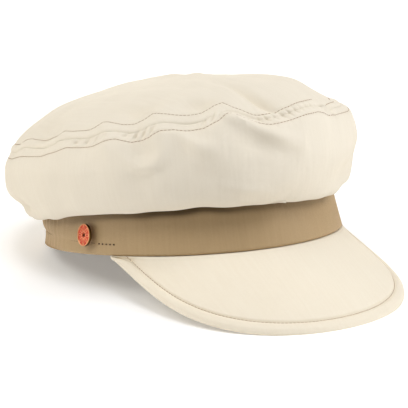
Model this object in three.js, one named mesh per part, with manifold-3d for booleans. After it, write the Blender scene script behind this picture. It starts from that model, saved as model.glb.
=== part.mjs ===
// Skipper cap: a full, soft cloth crown on a plain head band, a short covered peak and a round badge.
//
// Millimetres, Z up. The peak points to -Y, so the wearer's right side is -X. The cap rests by
// itself on the back of its band and the lower edge of its peak, so it leans back a little.
// The origin is on the surface that it rests on, under the middle of its box.
//
// Every cloth piece is a thin closed wall. Its outside is a smooth surface worked out from a short
// table of rings, and its inside is that surface moved in by the thickness of the cloth.

import * as THREE from 'three';
import { mergeVertices } from 'three/addons/utils/BufferGeometryUtils.js';
import Module from 'manifold-3d';

// Head band, measured at its lower rim on the outside
const BAND_HALF_LENGTH = 105;
const BAND_HALF_WIDTH = 82;
const BAND_HEIGHT = 31;
const BAND_WALL = 2;
// Share of the rim's size that each millimetre of height takes off, so the band leans in
const BAND_LEAN = 0.002;
const BAND_BACK_DIP = 4;

// Crown cloth, and the hem that is tucked down behind the band
const CROWN_WALL = 1.5;
const CROWN_HEM = 8;
const SEAM_CLEARANCE = 0.3;

// Peak, a stiff board covered with cloth, with a stitched groove inside its rolled edge
const PEAK_HALF_ANGLE = 70;
const PEAK_REACH = 60.2;
const PEAK_END_REACH = 1.4;
const PEAK_TAPER = 1.17;
// Share by which the peak is wider halfway round to the side than its taper says
const PEAK_FULLNESS = 0.07;
const PEAK_SLOPE_FRONT = 41;
const PEAK_SLOPE_SIDE = 56;
// How late the slope turns steep on the way from the front to the side
const PEAK_SLOPE_DELAY = 2.5;
const PEAK_WALL = 3;
const PEAK_HEM = 7;
const PEAK_HEM_WALL = 1.5;
const PEAK_GROOVE_INSET = 7.5;
const PEAK_GROOVE_DEPTH = 0.6;
// How far the board sags between the rim and the groove, at its sides
const PEAK_SAG = 1.6;

// Badge on the wearer's right side of the band, held by a plain rivet
const BADGE_ANGLE = 80.9;
const BADGE_HEIGHT = 10.2;
// How far its face is turned from the band towards the back
const BADGE_TURN = 13;
const BADGE_RADIUS = 6.5;
const BADGE_THICKNESS = 2.2;
const BADGE_RIM_WIDTH = 0.9;
const BADGE_RIM_RISE = 0.5;
const BADGE_HOLE_RADIUS = 0.5;
const BADGE_HOLE_DEPTH = 0.8;
const POST_RADIUS = 0.8;
const POST_HEAD_RADIUS = 3.5;
const POST_HEAD_THICKNESS = 1;

// How the cap rests: it leans back, and its lowest cloth is pressed flat by this much
const REST_TILT = 8.2;
const REST_PRESS = 0.5;

// Fineness of the walls
const CROWN_COLUMNS = 96;
const BAND_COLUMNS = 96;
const PEAK_COLUMNS = 40;
const BADGE_SIDES = 28;
const POST_SIDES = 12;

// Rings of the crown's outside, from under its overhang to the middle of its top.
// over: how far the ring lies outside the band's rim. shift: how far its middle lies back.
// The other columns are the ring's height at the front, at 45, 90 and 135 degrees, and at the back.
const CROWN_RINGS = [
  { name: 'seam', over: -6.3, shift: 0, front: 31.6, fore: 31.6, side: 31.6, aft: 31.6, back: 31.6 },
  { name: 'under', over: -0.5, shift: 1.5, front: 27.8, fore: 28.6, side: 25.5, aft: 23, back: 21.5 },
  { name: 'lip', over: 6, shift: 3.5, front: 23, fore: 25.4, side: 19.2, aft: 15.2, back: 15 },
  { name: 'low', over: 11, shift: 4.8, front: 28.5, fore: 29.5, side: 25.5, aft: 20.8, back: 19.2 },
  { name: 'belly', over: 15, shift: 4.8, front: 38.5, fore: 40, side: 39, aft: 33, back: 28 },
  { name: 'flank', over: 16.5, shift: 4.8, front: 52, fore: 50.5, side: 48.5, aft: 44, back: 40 },
  { name: 'low_stitch', over: 12.8, shift: 4.8, front: 69, fore: 66.5, side: 57.5, aft: 50.5, back: 46 },
  { name: 'top_stitch', over: 5.2, shift: 4.8, front: 76.5, fore: 73.5, side: 68, aft: 60, back: 55 },
  { name: 'dome', over: -15, shift: 4.8, front: 86, fore: 84, side: 80.5, aft: 75, back: 69.5 },
  { name: 'high', over: -43, shift: 4.8, front: 91.2, fore: 90.5, side: 88, aft: 86, back: 84.5 },
  { name: 'tip', over: -72, shift: 4.8, front: 94, fore: 93.4, side: 92, aft: 91.2, back: 91 },
  { name: 'middle', over: null, shift: 4.8, front: 94, fore: 94, side: 94, aft: 94, back: 94 },
];
const STATIONS = ['front', 'fore', 'side', 'aft', 'back'];

// Rings are numbered as levels, and the seam between side and top runs between two stitched rows
const ringLevel = (name) => CROWN_RINGS.findIndex((ring) => ring.name === name);
const SEAM_LEVEL = ringLevel('seam');
const TOP_SEAM_LEVEL = (ringLevel('low_stitch') + ringLevel('top_stitch')) / 2;
const MIDDLE_LEVEL = ringLevel('middle');

// Puckers that the stitched seam draws into the cloth, in degrees from the front to the wearer's right.
// Each row is a swelling and the hollow that follows it, with the height of the swelling.
const PUCKERS = [
  { crest: 176, hollow: 167, rise: 1.4 },
  { crest: 158, hollow: 149, rise: 1.2 },
  { crest: 140, hollow: 131, rise: 1.5 },
  { crest: 121, hollow: 111, rise: 1.3 },
  { crest: 101, hollow: 90, rise: 1.6 },
  { crest: 79.5, hollow: 69, rise: 1.6 },
  { crest: 61, hollow: 53.5, rise: 1.5 },
  { crest: 44.5, hollow: 36, rise: 1.7 },
  { crest: 26, hollow: 12.8, rise: 2.2 },
  { crest: -8.5, hollow: -18, rise: 1.8 },
  { crest: -33, hollow: -43, rise: 0.7 },
  { crest: -54, hollow: -63, rise: 1.5 },
  { crest: -74, hollow: -84, rise: 1.2 },
  { crest: -94, hollow: -103, rise: 1.6 },
  { crest: -113, hollow: -122, rise: 1.3 },
  { crest: -131, hollow: -141, rise: 1.5 },
  { crest: -151, hollow: -160, rise: 1.4 },
];
const PUCKER_REACH_BELOW = 1.1;
const PUCKER_REACH_ABOVE = 0.9;

// Soft folds and dents: where each lies, which way it runs (90 is straight up), its half length and
// half width along the cloth, and how far it stands out (dents are negative)
const FOLDS = [
  { name: 'front_ridge', angle: 8, level: 5.7, runs: 164, long: 15, wide: 4.2, rise: 1.8 },
  { name: 'front_hollow', angle: 14, level: 5.4, runs: 163, long: 19, wide: 4.6, rise: -1.5 },
  { name: 'side_hollow', angle: 50, level: 5.6, runs: 0, long: 9, wide: 6, rise: -2 },
  { name: 'side_dip', angle: 47, level: 4.55, runs: 20, long: 16, wide: 7, rise: -1.2 },
  { name: 'middle_dip', angle: 32, level: 4.5, runs: 160, long: 14, wide: 7, rise: -1.1 },
  { name: 'dome_dent', angle: 9, level: 7.5, runs: 125, long: 15, wide: 5, rise: -1.8 },
  { name: 'dome_hollow', angle: 57.5, level: 7.75, runs: 0, long: 13, wide: 6, rise: -2.8 },
  { name: 'dome_dip', angle: 31, level: 7.7, runs: 10, long: 10, wide: 6, rise: -2.4 },
  { name: 'rear_dip', angle: 95, level: 7.4, runs: 30, long: 12, wide: 6, rise: -1.8 },
  { name: 'dome_saddle', angle: -23, level: 9.2, runs: 90, long: 18, wide: 12, rise: -3.1 },
  { name: 'dome_hump', angle: -26, level: 8.4, runs: 0, long: 15, wide: 7.5, rise: 3.2 },
  { name: 'dome_step', angle: -43, level: 7.1, runs: 0, long: 22, wide: 9, rise: -4.4 },
  { name: 'rear_notch', angle: 114, level: 2.95, runs: 0, long: 22, wide: 6, rise: -5 },
  { name: 'rear_bulge', angle: 120, level: 3.8, runs: 0, long: 28, wide: 9, rise: 3 },
  { name: 'rear_swell', angle: 116, level: 5.7, runs: 0, long: 20, wide: 9, rise: 0.5 },
  { name: 'rear_lip', angle: 101, level: 2, runs: 0, long: 10, wide: 8, rise: 1 },
  { name: 'side_lip', angle: 74, level: 2, runs: 0, long: 9, wide: 8, rise: -1 },
  { name: 'left_lip', angle: -20, level: 2, runs: 0, long: 13, wide: 8, rise: 1.6 },
  { name: 'front_lip', angle: 22, level: 2, runs: 0, long: 13, wide: 8, rise: -1.1 },
  { name: 'left_flat', angle: -42, level: 3.9, runs: 90, long: 14, wide: 28, rise: -2.2 },
  { name: 'left_low_flat', angle: -25, level: 3.3, runs: 0, long: 18, wide: 6, rise: -2.3 },
  { name: 'left_small_dip', angle: -38, level: 4.9, runs: 80, long: 8, wide: 6, rise: -1.5 },
  { name: 'left_hollow', angle: -96, level: 4.6, runs: 150, long: 20, wide: 7, rise: -2 },
  { name: 'left_ridge', angle: -84, level: 5.1, runs: 145, long: 18, wide: 5, rise: 1.6 },
  { name: 'left_dent', angle: -118, level: 7.8, runs: 60, long: 20, wide: 8, rise: -1.8 },
  { name: 'back_hollow', angle: 172, level: 4.3, runs: 15, long: 26, wide: 7, rise: -1.8 },
];
// Height of cloth between one ring and the next, for laying out the folds
const LEVEL_HEIGHT = 12;

const radians = THREE.MathUtils.degToRad;
const smooth = (share) => 0.5 - 0.5 * Math.cos(Math.PI * share);

// A point of an oval, turned from the front (0) towards the wearer's right side
function ovalPoint(angle, halfLength, halfWidth, shift, height) {
  return new THREE.Vector3(
    -halfWidth * Math.sin(angle),
    shift - halfLength * Math.cos(angle),
    height,
  );
}

// A smooth even curve round the cap through a ring's five stated heights
function heightAround(ring, angle) {
  const last = STATIONS.length - 1;
  const halfAtEnds = (i) => (i === 0 || i === last ? 0.5 : 1);
  let height = 0;
  for (let wave = 0; wave <= last; wave += 1) {
    let strength = 0;
    STATIONS.forEach((station, i) => {
      strength += halfAtEnds(i) * ring[station] * Math.cos((wave * i * Math.PI) / last);
    });
    height += halfAtEnds(wave) * (2 / last) * strength * Math.cos(wave * angle);
  }
  return height;
}

// The band's outside: inset is measured inwards, and height upwards from the rim's plane
function bandPoint(angle, height, inset = 0) {
  const size = 1 - BAND_LEAN * height;
  return ovalPoint(
    angle,
    BAND_HALF_LENGTH * size - inset,
    BAND_HALF_WIDTH * size - inset,
    0,
    height,
  );
}

// The rim dips towards the back
function rimHeight(angle) {
  return -BAND_BACK_DIP * (0.5 - 0.5 * Math.cos(angle)) ** 2;
}

function ringPoint(ring, angle) {
  const height = heightAround(ring, angle);
  if (ring.over === null) return new THREE.Vector3(0, ring.shift, height);
  return ovalPoint(
    angle,
    BAND_HALF_LENGTH + ring.over,
    BAND_HALF_WIDTH + ring.over,
    ring.shift,
    height,
  );
}

// The smooth crown: level 0 is its seam with the band, and each ring adds one
function plainCrown(angle, level) {
  const curve = new THREE.CatmullRomCurve3(CROWN_RINGS.map((ring) => ringPoint(ring, angle)));
  return curve.getPoint(level / MIDDLE_LEVEL);
}

function normalOf(surface, angle, level) {
  const step = 0.01;
  const low = Math.max(level - step, SEAM_LEVEL);
  const high = Math.min(level + step, MIDDLE_LEVEL - step);
  const around = surface(angle + step, level).sub(surface(angle - step, level));
  const up = surface(angle, high).sub(surface(angle, low));
  return up.cross(around).normalize();
}

// Height of the puckers at one angle, from -1 times the rise in a hollow to the rise on a crest
function puckerWave(angle) {
  const knots = [];
  for (const turn of [360, 0, -360]) {
    for (const pucker of PUCKERS) {
      knots.push({ at: pucker.crest + turn, height: pucker.rise });
      knots.push({ at: pucker.hollow + turn, height: -pucker.rise });
    }
  }
  const degrees = THREE.MathUtils.radToDeg(angle);
  const next = knots.findIndex((knot) => knot.at <= degrees);
  const before = knots[next - 1];
  const after = knots[next];
  const share = (before.at - degrees) / (before.at - after.at);
  return THREE.MathUtils.lerp(before.height, after.height, smooth(share));
}

function puckerRelief(angle, level) {
  const away = level - TOP_SEAM_LEVEL;
  const reach = away < 0 ? PUCKER_REACH_BELOW : PUCKER_REACH_ABOVE;
  return puckerWave(angle) * Math.exp(-((away / reach) ** 2));
}

function foldRelief(fold, angle, level, reach) {
  const turned = THREE.MathUtils.euclideanModulo(angle - radians(fold.angle) + Math.PI, 2 * Math.PI);
  const across = -(turned - Math.PI) * reach;
  const up = (level - fold.level) * LEVEL_HEIGHT;
  const direction = radians(fold.runs);
  const alongFold = across * Math.cos(direction) + up * Math.sin(direction);
  const overFold = up * Math.cos(direction) - across * Math.sin(direction);
  return fold.rise * Math.exp(-((alongFold / fold.long) ** 2) - (overFold / fold.wide) ** 2);
}

// The crown with its puckers and folds. They fade out at the seam with the band and at the middle.
function crownPoint(angle, level) {
  const fadeIn = smooth(Math.min(level / 2, 1));
  const fadeOut = smooth(Math.min((MIDDLE_LEVEL - level) / 2, 1));
  const plain = plainCrown(angle, level);
  const reach = Math.hypot(plain.x, plain.y);
  const folds = FOLDS.reduce((sum, fold) => sum + foldRelief(fold, angle, level, reach), 0);
  const relief = (puckerRelief(angle, level) + folds) * fadeIn * fadeOut;
  return plain.addScaledVector(normalOf(plainCrown, angle, level), relief);
}

// Both faces of the crown's cloth at one place
function crownCloth(angle, level) {
  const outside = crownPoint(angle, level);
  const inside = outside.clone().addScaledVector(normalOf(crownPoint, angle, level), -CROWN_WALL);
  return { outside, inside };
}

// The direction in which a point goes up when the cap rests
const restUp = new THREE.Vector3(0, -Math.sin(radians(REST_TILT)), Math.cos(radians(REST_TILT)));
const floorHeight = bandPoint(Math.PI, rimHeight(Math.PI)).dot(restUp) + REST_PRESS;

// Cloth that would lie lower than the surface is pressed flat on it
function pressed(point) {
  const below = Math.max(floorHeight - point.dot(restUp), 0);
  return point.addScaledVector(restUp, below);
}

// Vertices that meet become one, and faces that have lost a side are dropped
function weld(positions, triangles) {
  const loose = new THREE.BufferGeometry();
  loose.setAttribute('position', new THREE.Float32BufferAttribute(positions, 3));
  loose.setIndex(triangles);
  const welded = mergeVertices(loose);
  const index = Array.from(welded.index.array);
  const kept = [];
  for (let i = 0; i < index.length; i += 3) {
    const [a, b, c] = index.slice(i, i + 3);
    if (a !== b && b !== c && c !== a) kept.push(a, b, c);
  }
  welded.setIndex(kept);
  welded.computeVertexNormals();
  return welded;
}

// A solid through sections that are closed loops of points. A round solid's last section meets its
// first. An open one is capped at both ends across its section's two long sides.
function loft(sections, round) {
  const around = sections[0].length;
  const positions = sections.flat().flatMap((point) => point.toArray());
  const triangles = [];
  const strips = round ? sections.length : sections.length - 1;
  for (let s = 0; s < strips; s += 1) {
    const here = s * around;
    const there = ((s + 1) % sections.length) * around;
    for (let i = 0; i < around; i += 1) {
      const j = (i + 1) % around;
      triangles.push(here + i, there + j, there + i);
      triangles.push(here + i, here + j, there + j);
    }
  }
  if (!round) {
    const end = (sections.length - 1) * around;
    for (let i = 0; i < around / 2 - 1; i += 1) {
      const j = around - 1 - i;
      triangles.push(i, j - 1, i + 1, i, j, j - 1);
      triangles.push(end + i, end + i + 1, end + j - 1, end + i, end + j - 1, end + j);
    }
  }
  return weld(positions, triangles);
}

// Sections all the way round the cap
function sectionsAround(columns, section) {
  return Array.from({ length: columns }, (_, i) => section((2 * Math.PI * i) / columns));
}

const evenSteps = (from, to, count) =>
  Array.from({ length: count + 1 }, (_, i) => THREE.MathUtils.lerp(from, to, i / count));

// Top of the crown: one oval panel, from its seam to the middle
function makeCrownTop() {
  const gap = SEAM_CLEARANCE / 2 / LEVEL_HEIGHT;
  const levels = [TOP_SEAM_LEVEL + gap, ringLevel('top_stitch'), 7.5, 8, 8.6, 9.3, 10.2];
  const middle = { outside: plainCrown(0, MIDDLE_LEVEL) };
  middle.inside = middle.outside.clone().add(new THREE.Vector3(0, 0, -CROWN_WALL));
  return loft(
    sectionsAround(CROWN_COLUMNS, (angle) => {
      const cloth = levels.map((level) => crownCloth(angle, level));
      cloth.push(middle);
      const outsides = cloth.map((place) => place.outside.clone());
      const insides = cloth.map((place) => place.inside.clone()).reverse();
      return [...outsides, ...insides];
    }),
    true,
  );
}

// Side of the crown: from its seam with the top, out over the band, and back in to a hem behind it
function makeCrownSide() {
  const gap = SEAM_CLEARANCE / 2 / LEVEL_HEIGHT;
  const levels = [0.5, 1, 1.5, 2, 2.5, 3.2, 4, 4.7, 5.3, 5.8, TOP_SEAM_LEVEL - gap];
  const hemInset = BAND_WALL + SEAM_CLEARANCE;
  const overBand = BAND_HEIGHT + SEAM_CLEARANCE;
  return loft(
    sectionsAround(CROWN_COLUMNS, (angle) => {
      const cloth = levels.map((level) => crownCloth(angle, level));
      const outsides = [
        bandPoint(angle, BAND_HEIGHT - CROWN_HEM, hemInset),
        bandPoint(angle, overBand, hemInset),
        bandPoint(angle, overBand + 0.2, 0),
        ...cloth.map((place) => place.outside),
      ];
      const insides = [
        bandPoint(angle, BAND_HEIGHT - CROWN_HEM, hemInset + CROWN_WALL),
        bandPoint(angle, overBand + CROWN_WALL, hemInset + CROWN_WALL),
        bandPoint(angle, overBand + CROWN_WALL + 0.2, 0),
        ...cloth.map((place) => place.inside),
      ];
      return [...outsides, ...insides.reverse()];
    }),
    true,
  );
}

// Where the badge's post stands on the band, and the directions in which the post and the face look
const badgeFoot = bandPoint(radians(BADGE_ANGLE), BADGE_HEIGHT);
const postDirection = (() => {
  const angle = radians(BADGE_ANGLE);
  const step = 0.01;
  const around = bandPoint(angle + step, BADGE_HEIGHT).sub(bandPoint(angle - step, BADGE_HEIGHT));
  const up = bandPoint(angle, BADGE_HEIGHT + 1).sub(bandPoint(angle, BADGE_HEIGHT - 1));
  return up.cross(around).normalize();
})();
const badgeDirection = postDirection
  .clone()
  .applyAxisAngle(new THREE.Vector3(0, 0, 1), -radians(BADGE_TURN));
// The post lifts the badge's middle so far that its rear edge stays clear of the band
const badgeLift = 2 * SEAM_CLEARANCE + BADGE_RADIUS * Math.sin(radians(BADGE_TURN));

// A piece made round the Y axis is turned to a direction and moved along the post
function onBand(geometry, direction, lift) {
  const turn = new THREE.Quaternion().setFromUnitVectors(new THREE.Vector3(0, 1, 0), direction);
  const place = badgeFoot.clone().addScaledVector(postDirection, lift);
  return geometry.applyQuaternion(turn).translate(place.x, place.y, place.z);
}

// A turned piece: the profile goes from the axis, round the outside and back to the axis
function turned(profile, sides) {
  const lathe = new THREE.LatheGeometry(profile.map(([r, y]) => new THREE.Vector2(r, y)), sides);
  return weld(Array.from(lathe.attributes.position.array), Array.from(lathe.index.array));
}

async function cutHole(geometry, tool) {
  const wasm = await Module();
  wasm.setup();
  const solidOf = (shape) => {
    const bare = shape.clone();
    bare.deleteAttribute('normal');
    bare.deleteAttribute('uv');
    const merged = mergeVertices(bare);
    return new wasm.Manifold(
      new wasm.Mesh({
        numProp: 3,
        vertProperties: new Float32Array(merged.attributes.position.array),
        triVerts: new Uint32Array(merged.index.array),
      }),
    );
  };
  const result = solidOf(geometry).subtract(solidOf(tool)).getMesh();
  return weld(Array.from(result.vertProperties), Array.from(result.triVerts));
}

// Head band: a plain strip of doubled cloth, with a hole for the badge's post
function makeBand() {
  const strip = loft(
    sectionsAround(BAND_COLUMNS, (angle) => {
      const heights = evenSteps(rimHeight(angle), BAND_HEIGHT, 3);
      const outsides = heights.map((height) => pressed(bandPoint(angle, height)));
      const insides = heights.map((height) => pressed(bandPoint(angle, height, BAND_WALL)));
      return [...outsides, ...insides.reverse()];
    }),
    true,
  );
  const holeRadius = POST_RADIUS + SEAM_CLEARANCE;
  const drill = new THREE.CylinderGeometry(holeRadius, holeRadius, 4 * BAND_WALL, POST_SIDES);
  return cutHole(strip, onBand(drill, postDirection, 0));
}

// The peak's top face at one place: side runs from -1 to 1 round the rim, and reach is measured
// outwards from the rim along the slope, as a share of the peak's width there
function peakFrame(side) {
  const angle = side * radians(PEAK_HALF_ANGLE);
  const root = bandPoint(angle, rimHeight(angle));
  const outward = new THREE.Vector3(
    -Math.sin(angle) / BAND_HALF_WIDTH,
    -Math.cos(angle) / BAND_HALF_LENGTH,
    0,
  ).normalize();
  const turn = smooth(Math.abs(side)) ** PEAK_SLOPE_DELAY;
  const slope = radians(THREE.MathUtils.lerp(PEAK_SLOPE_FRONT, PEAK_SLOPE_SIDE, turn));
  const along = outward.clone().multiplyScalar(Math.cos(slope));
  along.z = -Math.sin(slope);
  const taper = Math.max(Math.cos((side * Math.PI) / 2), 0) ** PEAK_TAPER;
  const fullness = 1 + PEAK_FULLNESS * Math.sin(side * Math.PI) ** 2;
  const width = THREE.MathUtils.lerp(PEAK_END_REACH, PEAK_REACH, taper * fullness);
  return { angle, root, outward, along, width };
}

function peakSection(side) {
  const { angle, root, outward, along, width } = peakFrame(side);
  const sideways = new THREE.Vector3(outward.y, -outward.x, 0);
  const upward = along.clone().cross(sideways).normalize();
  if (upward.z < 0) upward.negate();
  const onSlope = (distance, lift) =>
    root.clone().addScaledVector(along, distance).addScaledVector(upward, lift);
  const tops = [];
  const undersides = [];
  const hemInset = BAND_WALL + SEAM_CLEARANCE;
  const rim = rimHeight(angle);
  tops.push(bandPoint(angle, rim + PEAK_HEM, hemInset));
  undersides.push(bandPoint(angle, rim + PEAK_HEM, hemInset + PEAK_HEM_WALL));
  tops.push(bandPoint(angle, rim - SEAM_CLEARANCE, hemInset));
  undersides.push(bandPoint(angle, rim - PEAK_HEM_WALL, hemInset + PEAK_HEM_WALL));
  tops.push(root.clone().addScaledVector(restUp, -SEAM_CLEARANCE));
  undersides.push(onSlope(-0.5, -PEAK_WALL));
  const groove = Math.max(width - PEAK_GROOVE_INSET, width * 0.35);
  const rolled = (width - groove) / 2;
  const sagAt = (share) => PEAK_SAG * smooth(Math.abs(side)) * Math.sin(Math.PI * share);
  for (const share of [0.35, 0.7]) {
    tops.push(onSlope(groove * share, -sagAt(share)));
    undersides.push(onSlope(groove * share, -sagAt(share) - PEAK_WALL));
  }
  const edge = [
    { distance: groove, lift: -PEAK_GROOVE_DEPTH },
    { distance: groove + rolled, lift: PEAK_GROOVE_DEPTH },
    { distance: width - PEAK_WALL * 0.25, lift: -PEAK_WALL * 0.1 },
  ];
  for (const { distance, lift } of edge) {
    tops.push(onSlope(distance, lift));
    undersides.push(onSlope(distance, -PEAK_WALL));
  }
  tops.push(onSlope(width, -PEAK_WALL * 0.4));
  undersides.push(onSlope(width, -PEAK_WALL * 0.75));
  return [...tops, ...undersides.reverse()].map(pressed);
}

function makePeak() {
  return loft(evenSteps(1, -1, PEAK_COLUMNS).map(peakSection), false);
}

// Badge: a flat disc with a raised rim and a small sunk centre
function makeBadge() {
  const face = BADGE_THICKNESS - BADGE_RIM_RISE;
  return onBand(
    turned(
      [
        [0, 0],
        [BADGE_RADIUS - 0.3, 0],
        [BADGE_RADIUS, 0.3],
        [BADGE_RADIUS, BADGE_THICKNESS - 0.3],
        [BADGE_RADIUS - 0.3, BADGE_THICKNESS],
        [BADGE_RADIUS - BADGE_RIM_WIDTH, BADGE_THICKNESS],
        [BADGE_RADIUS - BADGE_RIM_WIDTH - 0.2, face],
        [BADGE_HOLE_RADIUS, face],
        [BADGE_HOLE_RADIUS, face - BADGE_HOLE_DEPTH],
        [0, face - BADGE_HOLE_DEPTH],
      ],
      BADGE_SIDES,
    ),
    badgeDirection,
    badgeLift,
  );
}

// Rivet behind the band: a flat head and a post that ends just short of the badge's back
function makeBadgePost() {
  const headTop = -BAND_WALL - SEAM_CLEARANCE;
  const postTop = badgeLift - SEAM_CLEARANCE - POST_RADIUS * Math.tan(radians(BADGE_TURN));
  return onBand(
    turned(
      [
        [0, headTop - POST_HEAD_THICKNESS],
        [POST_HEAD_RADIUS, headTop - POST_HEAD_THICKNESS],
        [POST_HEAD_RADIUS, headTop],
        [POST_RADIUS, headTop],
        [POST_RADIUS, postTop],
        [0, postTop],
      ],
      POST_SIDES,
    ),
    postDirection,
    0,
  );
}

const crownCloths = { color: 0xe9e0cd, roughness: 0.9, metalness: 0 };
const peakCloth = { color: 0xeee3cb, roughness: 0.88, metalness: 0 };
const bandCloth = { color: 0x8f7a5c, roughness: 0.75, metalness: 0 };
const badgeMetal = { color: 0xcd7355, roughness: 0.35, metalness: 0.6 };
const plainMetal = { color: 0xb08d57, roughness: 0.4, metalness: 0.9 };

const cap = new THREE.Group();

function addPiece(name, geometry, look) {
  const mesh = new THREE.Mesh(geometry, new THREE.MeshStandardMaterial(look));
  mesh.name = name;
  cap.add(mesh);
}

addPiece('crown_top', makeCrownTop(), crownCloths);
addPiece('crown_side', makeCrownSide(), crownCloths);
addPiece('band', await makeBand(), bandCloth);
addPiece('peak', makePeak(), peakCloth);
addPiece('badge', makeBadge(), badgeMetal);
addPiece('badge_post', makeBadgePost(), plainMetal);

// The cap leans back to rest, and its box is centred over the origin
cap.rotation.x = -radians(REST_TILT);
cap.updateMatrixWorld(true);
const box = new THREE.Box3().setFromObject(cap, true);
const centre = box.getCenter(new THREE.Vector3());
cap.position.set(-centre.x, -centre.y, -box.min.z);

export default cap;
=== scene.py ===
# %% [markdown]
# # A soft cream skipper cap
#
# The cap is sewn from a full crown with a stitched seam round it, a plain taupe band, a short covered
# peak and a small round badge. The solid model gives every piece its place, and this script gives
# every piece its cloth, its stitches and its finish.

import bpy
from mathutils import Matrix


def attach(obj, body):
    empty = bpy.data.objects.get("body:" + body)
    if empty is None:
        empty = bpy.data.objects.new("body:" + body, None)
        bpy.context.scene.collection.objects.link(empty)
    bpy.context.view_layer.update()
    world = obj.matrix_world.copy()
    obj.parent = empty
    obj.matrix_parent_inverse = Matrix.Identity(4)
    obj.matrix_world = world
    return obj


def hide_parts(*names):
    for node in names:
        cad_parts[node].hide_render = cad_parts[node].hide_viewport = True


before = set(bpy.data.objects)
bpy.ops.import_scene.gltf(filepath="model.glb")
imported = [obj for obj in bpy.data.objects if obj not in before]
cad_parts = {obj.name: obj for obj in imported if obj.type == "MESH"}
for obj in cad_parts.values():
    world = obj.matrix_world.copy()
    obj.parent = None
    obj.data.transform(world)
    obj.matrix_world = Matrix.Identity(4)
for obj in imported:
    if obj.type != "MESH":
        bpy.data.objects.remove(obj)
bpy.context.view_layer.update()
print("solid pieces:", sorted(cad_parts))

# %% [markdown]
# ## The tools
#
# bpy is the modelling program itself, and its operators do what its menus do. numpy works on thousands
# of points in one step, which the cloth needs, and mathutils turns single pieces to their places.

# %% Tools used all through
import math
from contextlib import contextmanager

import bpy
import numpy as np
from mathutils import Matrix, Vector

MM = 0.001  # one millimetre, in the scene's metres
print("program version:", bpy.app.version_string)

# %% [markdown]
# ## Where things are
#
# The cap is easiest to describe in millimetres as it would sit on a level head: the front is 0 degrees,
# and angles run towards the wearer's right. At rest it leans back, so every point is turned about the
# X axis and moved to its place on the table at the very end. The tilt and the shift come from the solid
# model. The shift puts the middle of the cap's box over the origin, and its lowest cloth on the table.

# %% From the cap's own millimetres to the scene's metres
REST_TILT = math.radians(8.2)
REST_SHIFT = np.array([-0.346, 11.639, 18.555])
LEAN_BACK = np.array([
    [1, 0, 0],
    [0, math.cos(REST_TILT), math.sin(REST_TILT)],
    [0, -math.sin(REST_TILT), math.cos(REST_TILT)],
])
REST_UP = np.array([0, -math.sin(REST_TILT), math.cos(REST_TILT)])


def at_rest(points):
    return (np.asarray(points) @ LEAN_BACK.T + REST_SHIFT) * MM


def turn_at_rest(directions):
    return np.asarray(directions) @ LEAN_BACK.T


print("the band's middle rests at:", np.round(at_rest([0, 0, 0]), 4))

# %% [markdown]
# ## The oval that everything hangs from
#
# A cap is sized by the head's oval. The band, the crown and the peak all start from the same one, so it
# comes first, with the same sizes as in the solid model. Three small curves draw nearly everything that
# follows: an oval, a soft step from 0 to 1, and a soft bump.

# %% Sizes that the solid model and the cloth share
BAND_HALF_LENGTH = 105
BAND_HALF_WIDTH = 82
BAND_HEIGHT = 31
BAND_WALL = 2
BAND_LEAN = 0.002
BAND_BACK_DIP = 4
CROWN_WALL = 1.5
CROWN_HEM = 8
SEAM_CLEARANCE = 0.3
REST_PRESS = 0.5


def smooth(share):
    """A soft step from 0 to 1."""
    return 0.5 - 0.5 * np.cos(np.pi * share)


def bell(distance, width):
    """A soft bump, 1 in its middle and near 0 at twice its width."""
    return np.exp(-((distance / width) ** 2))


def oval(angle, half_length, half_width, shift, height):
    """Points of an oval that is shifted back, at a height."""
    angle, height = np.broadcast_arrays(angle, height)
    return np.stack([-half_width * np.sin(angle), shift - half_length * np.cos(angle), height], -1)


def rim_height(angle):
    """The band's lower edge dips towards the back of the head."""
    return -BAND_BACK_DIP * (0.5 - 0.5 * np.cos(angle)) ** 2


def band_point(angle, height, inset=0.0):
    """A point of the band's outside, or further in by the inset."""
    size = 1 - BAND_LEAN * height
    return oval(angle, BAND_HALF_LENGTH * size - inset, BAND_HALF_WIDTH * size - inset, 0, height)


FLOOR_HEIGHT = band_point(np.pi, rim_height(np.pi)) @ REST_UP + REST_PRESS


def pressed(points):
    """Cloth that would lie below the table is pressed flat on it."""
    below = np.maximum(FLOOR_HEIGHT - points @ REST_UP, 0)
    return points + below[..., None] * REST_UP


def run_length(line):
    """How long the cloth or thread is from its first point up to each point."""
    steps = np.linalg.norm(np.diff(line, axis=0), axis=-1)
    return np.concatenate([np.zeros_like(steps[:1]), np.cumsum(steps, axis=0)])


def signed_turn(angle):
    """The same direction as an angle between -180 and 180 degrees."""
    return (angle + math.pi) % (2 * math.pi) - math.pi


head_line = band_point(np.linspace(0, 2 * np.pi, 361), 0, BAND_WALL)
print("rim's lowest point:", np.round(at_rest(band_point(np.pi, rim_height(np.pi))), 4))
print("inside the band it is", round(run_length(head_line)[-1]), "mm round")

# %% [markdown]
# ## The camera
#
# The photograph looks at the cap from its right front and a little from above. A long lens, far away,
# keeps the perspective as gentle as it is there.

# %% Camera at the photograph's angle
AZIMUTH = math.radians(-35)
ELEVATION = math.radians(14.2)
CAMERA_DISTANCE = 850
LENS_PIXELS = 1458
PHOTO_PIXELS = 408
SENSOR = 36
AIM = Vector((0, -20, 60))
AIM_SIDEWAYS = -2.5
AIM_UP = -38.8

backward = Vector((
    math.sin(AZIMUTH) * math.cos(ELEVATION),
    -math.cos(AZIMUTH) * math.cos(ELEVATION),
    math.sin(ELEVATION),
))
rightward = (-backward).cross(Vector((0, 0, 1))).normalized()
upward = rightward.cross(-backward)
aim = AIM + rightward * AIM_SIDEWAYS + upward * AIM_UP + Vector(REST_SHIFT)

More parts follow.
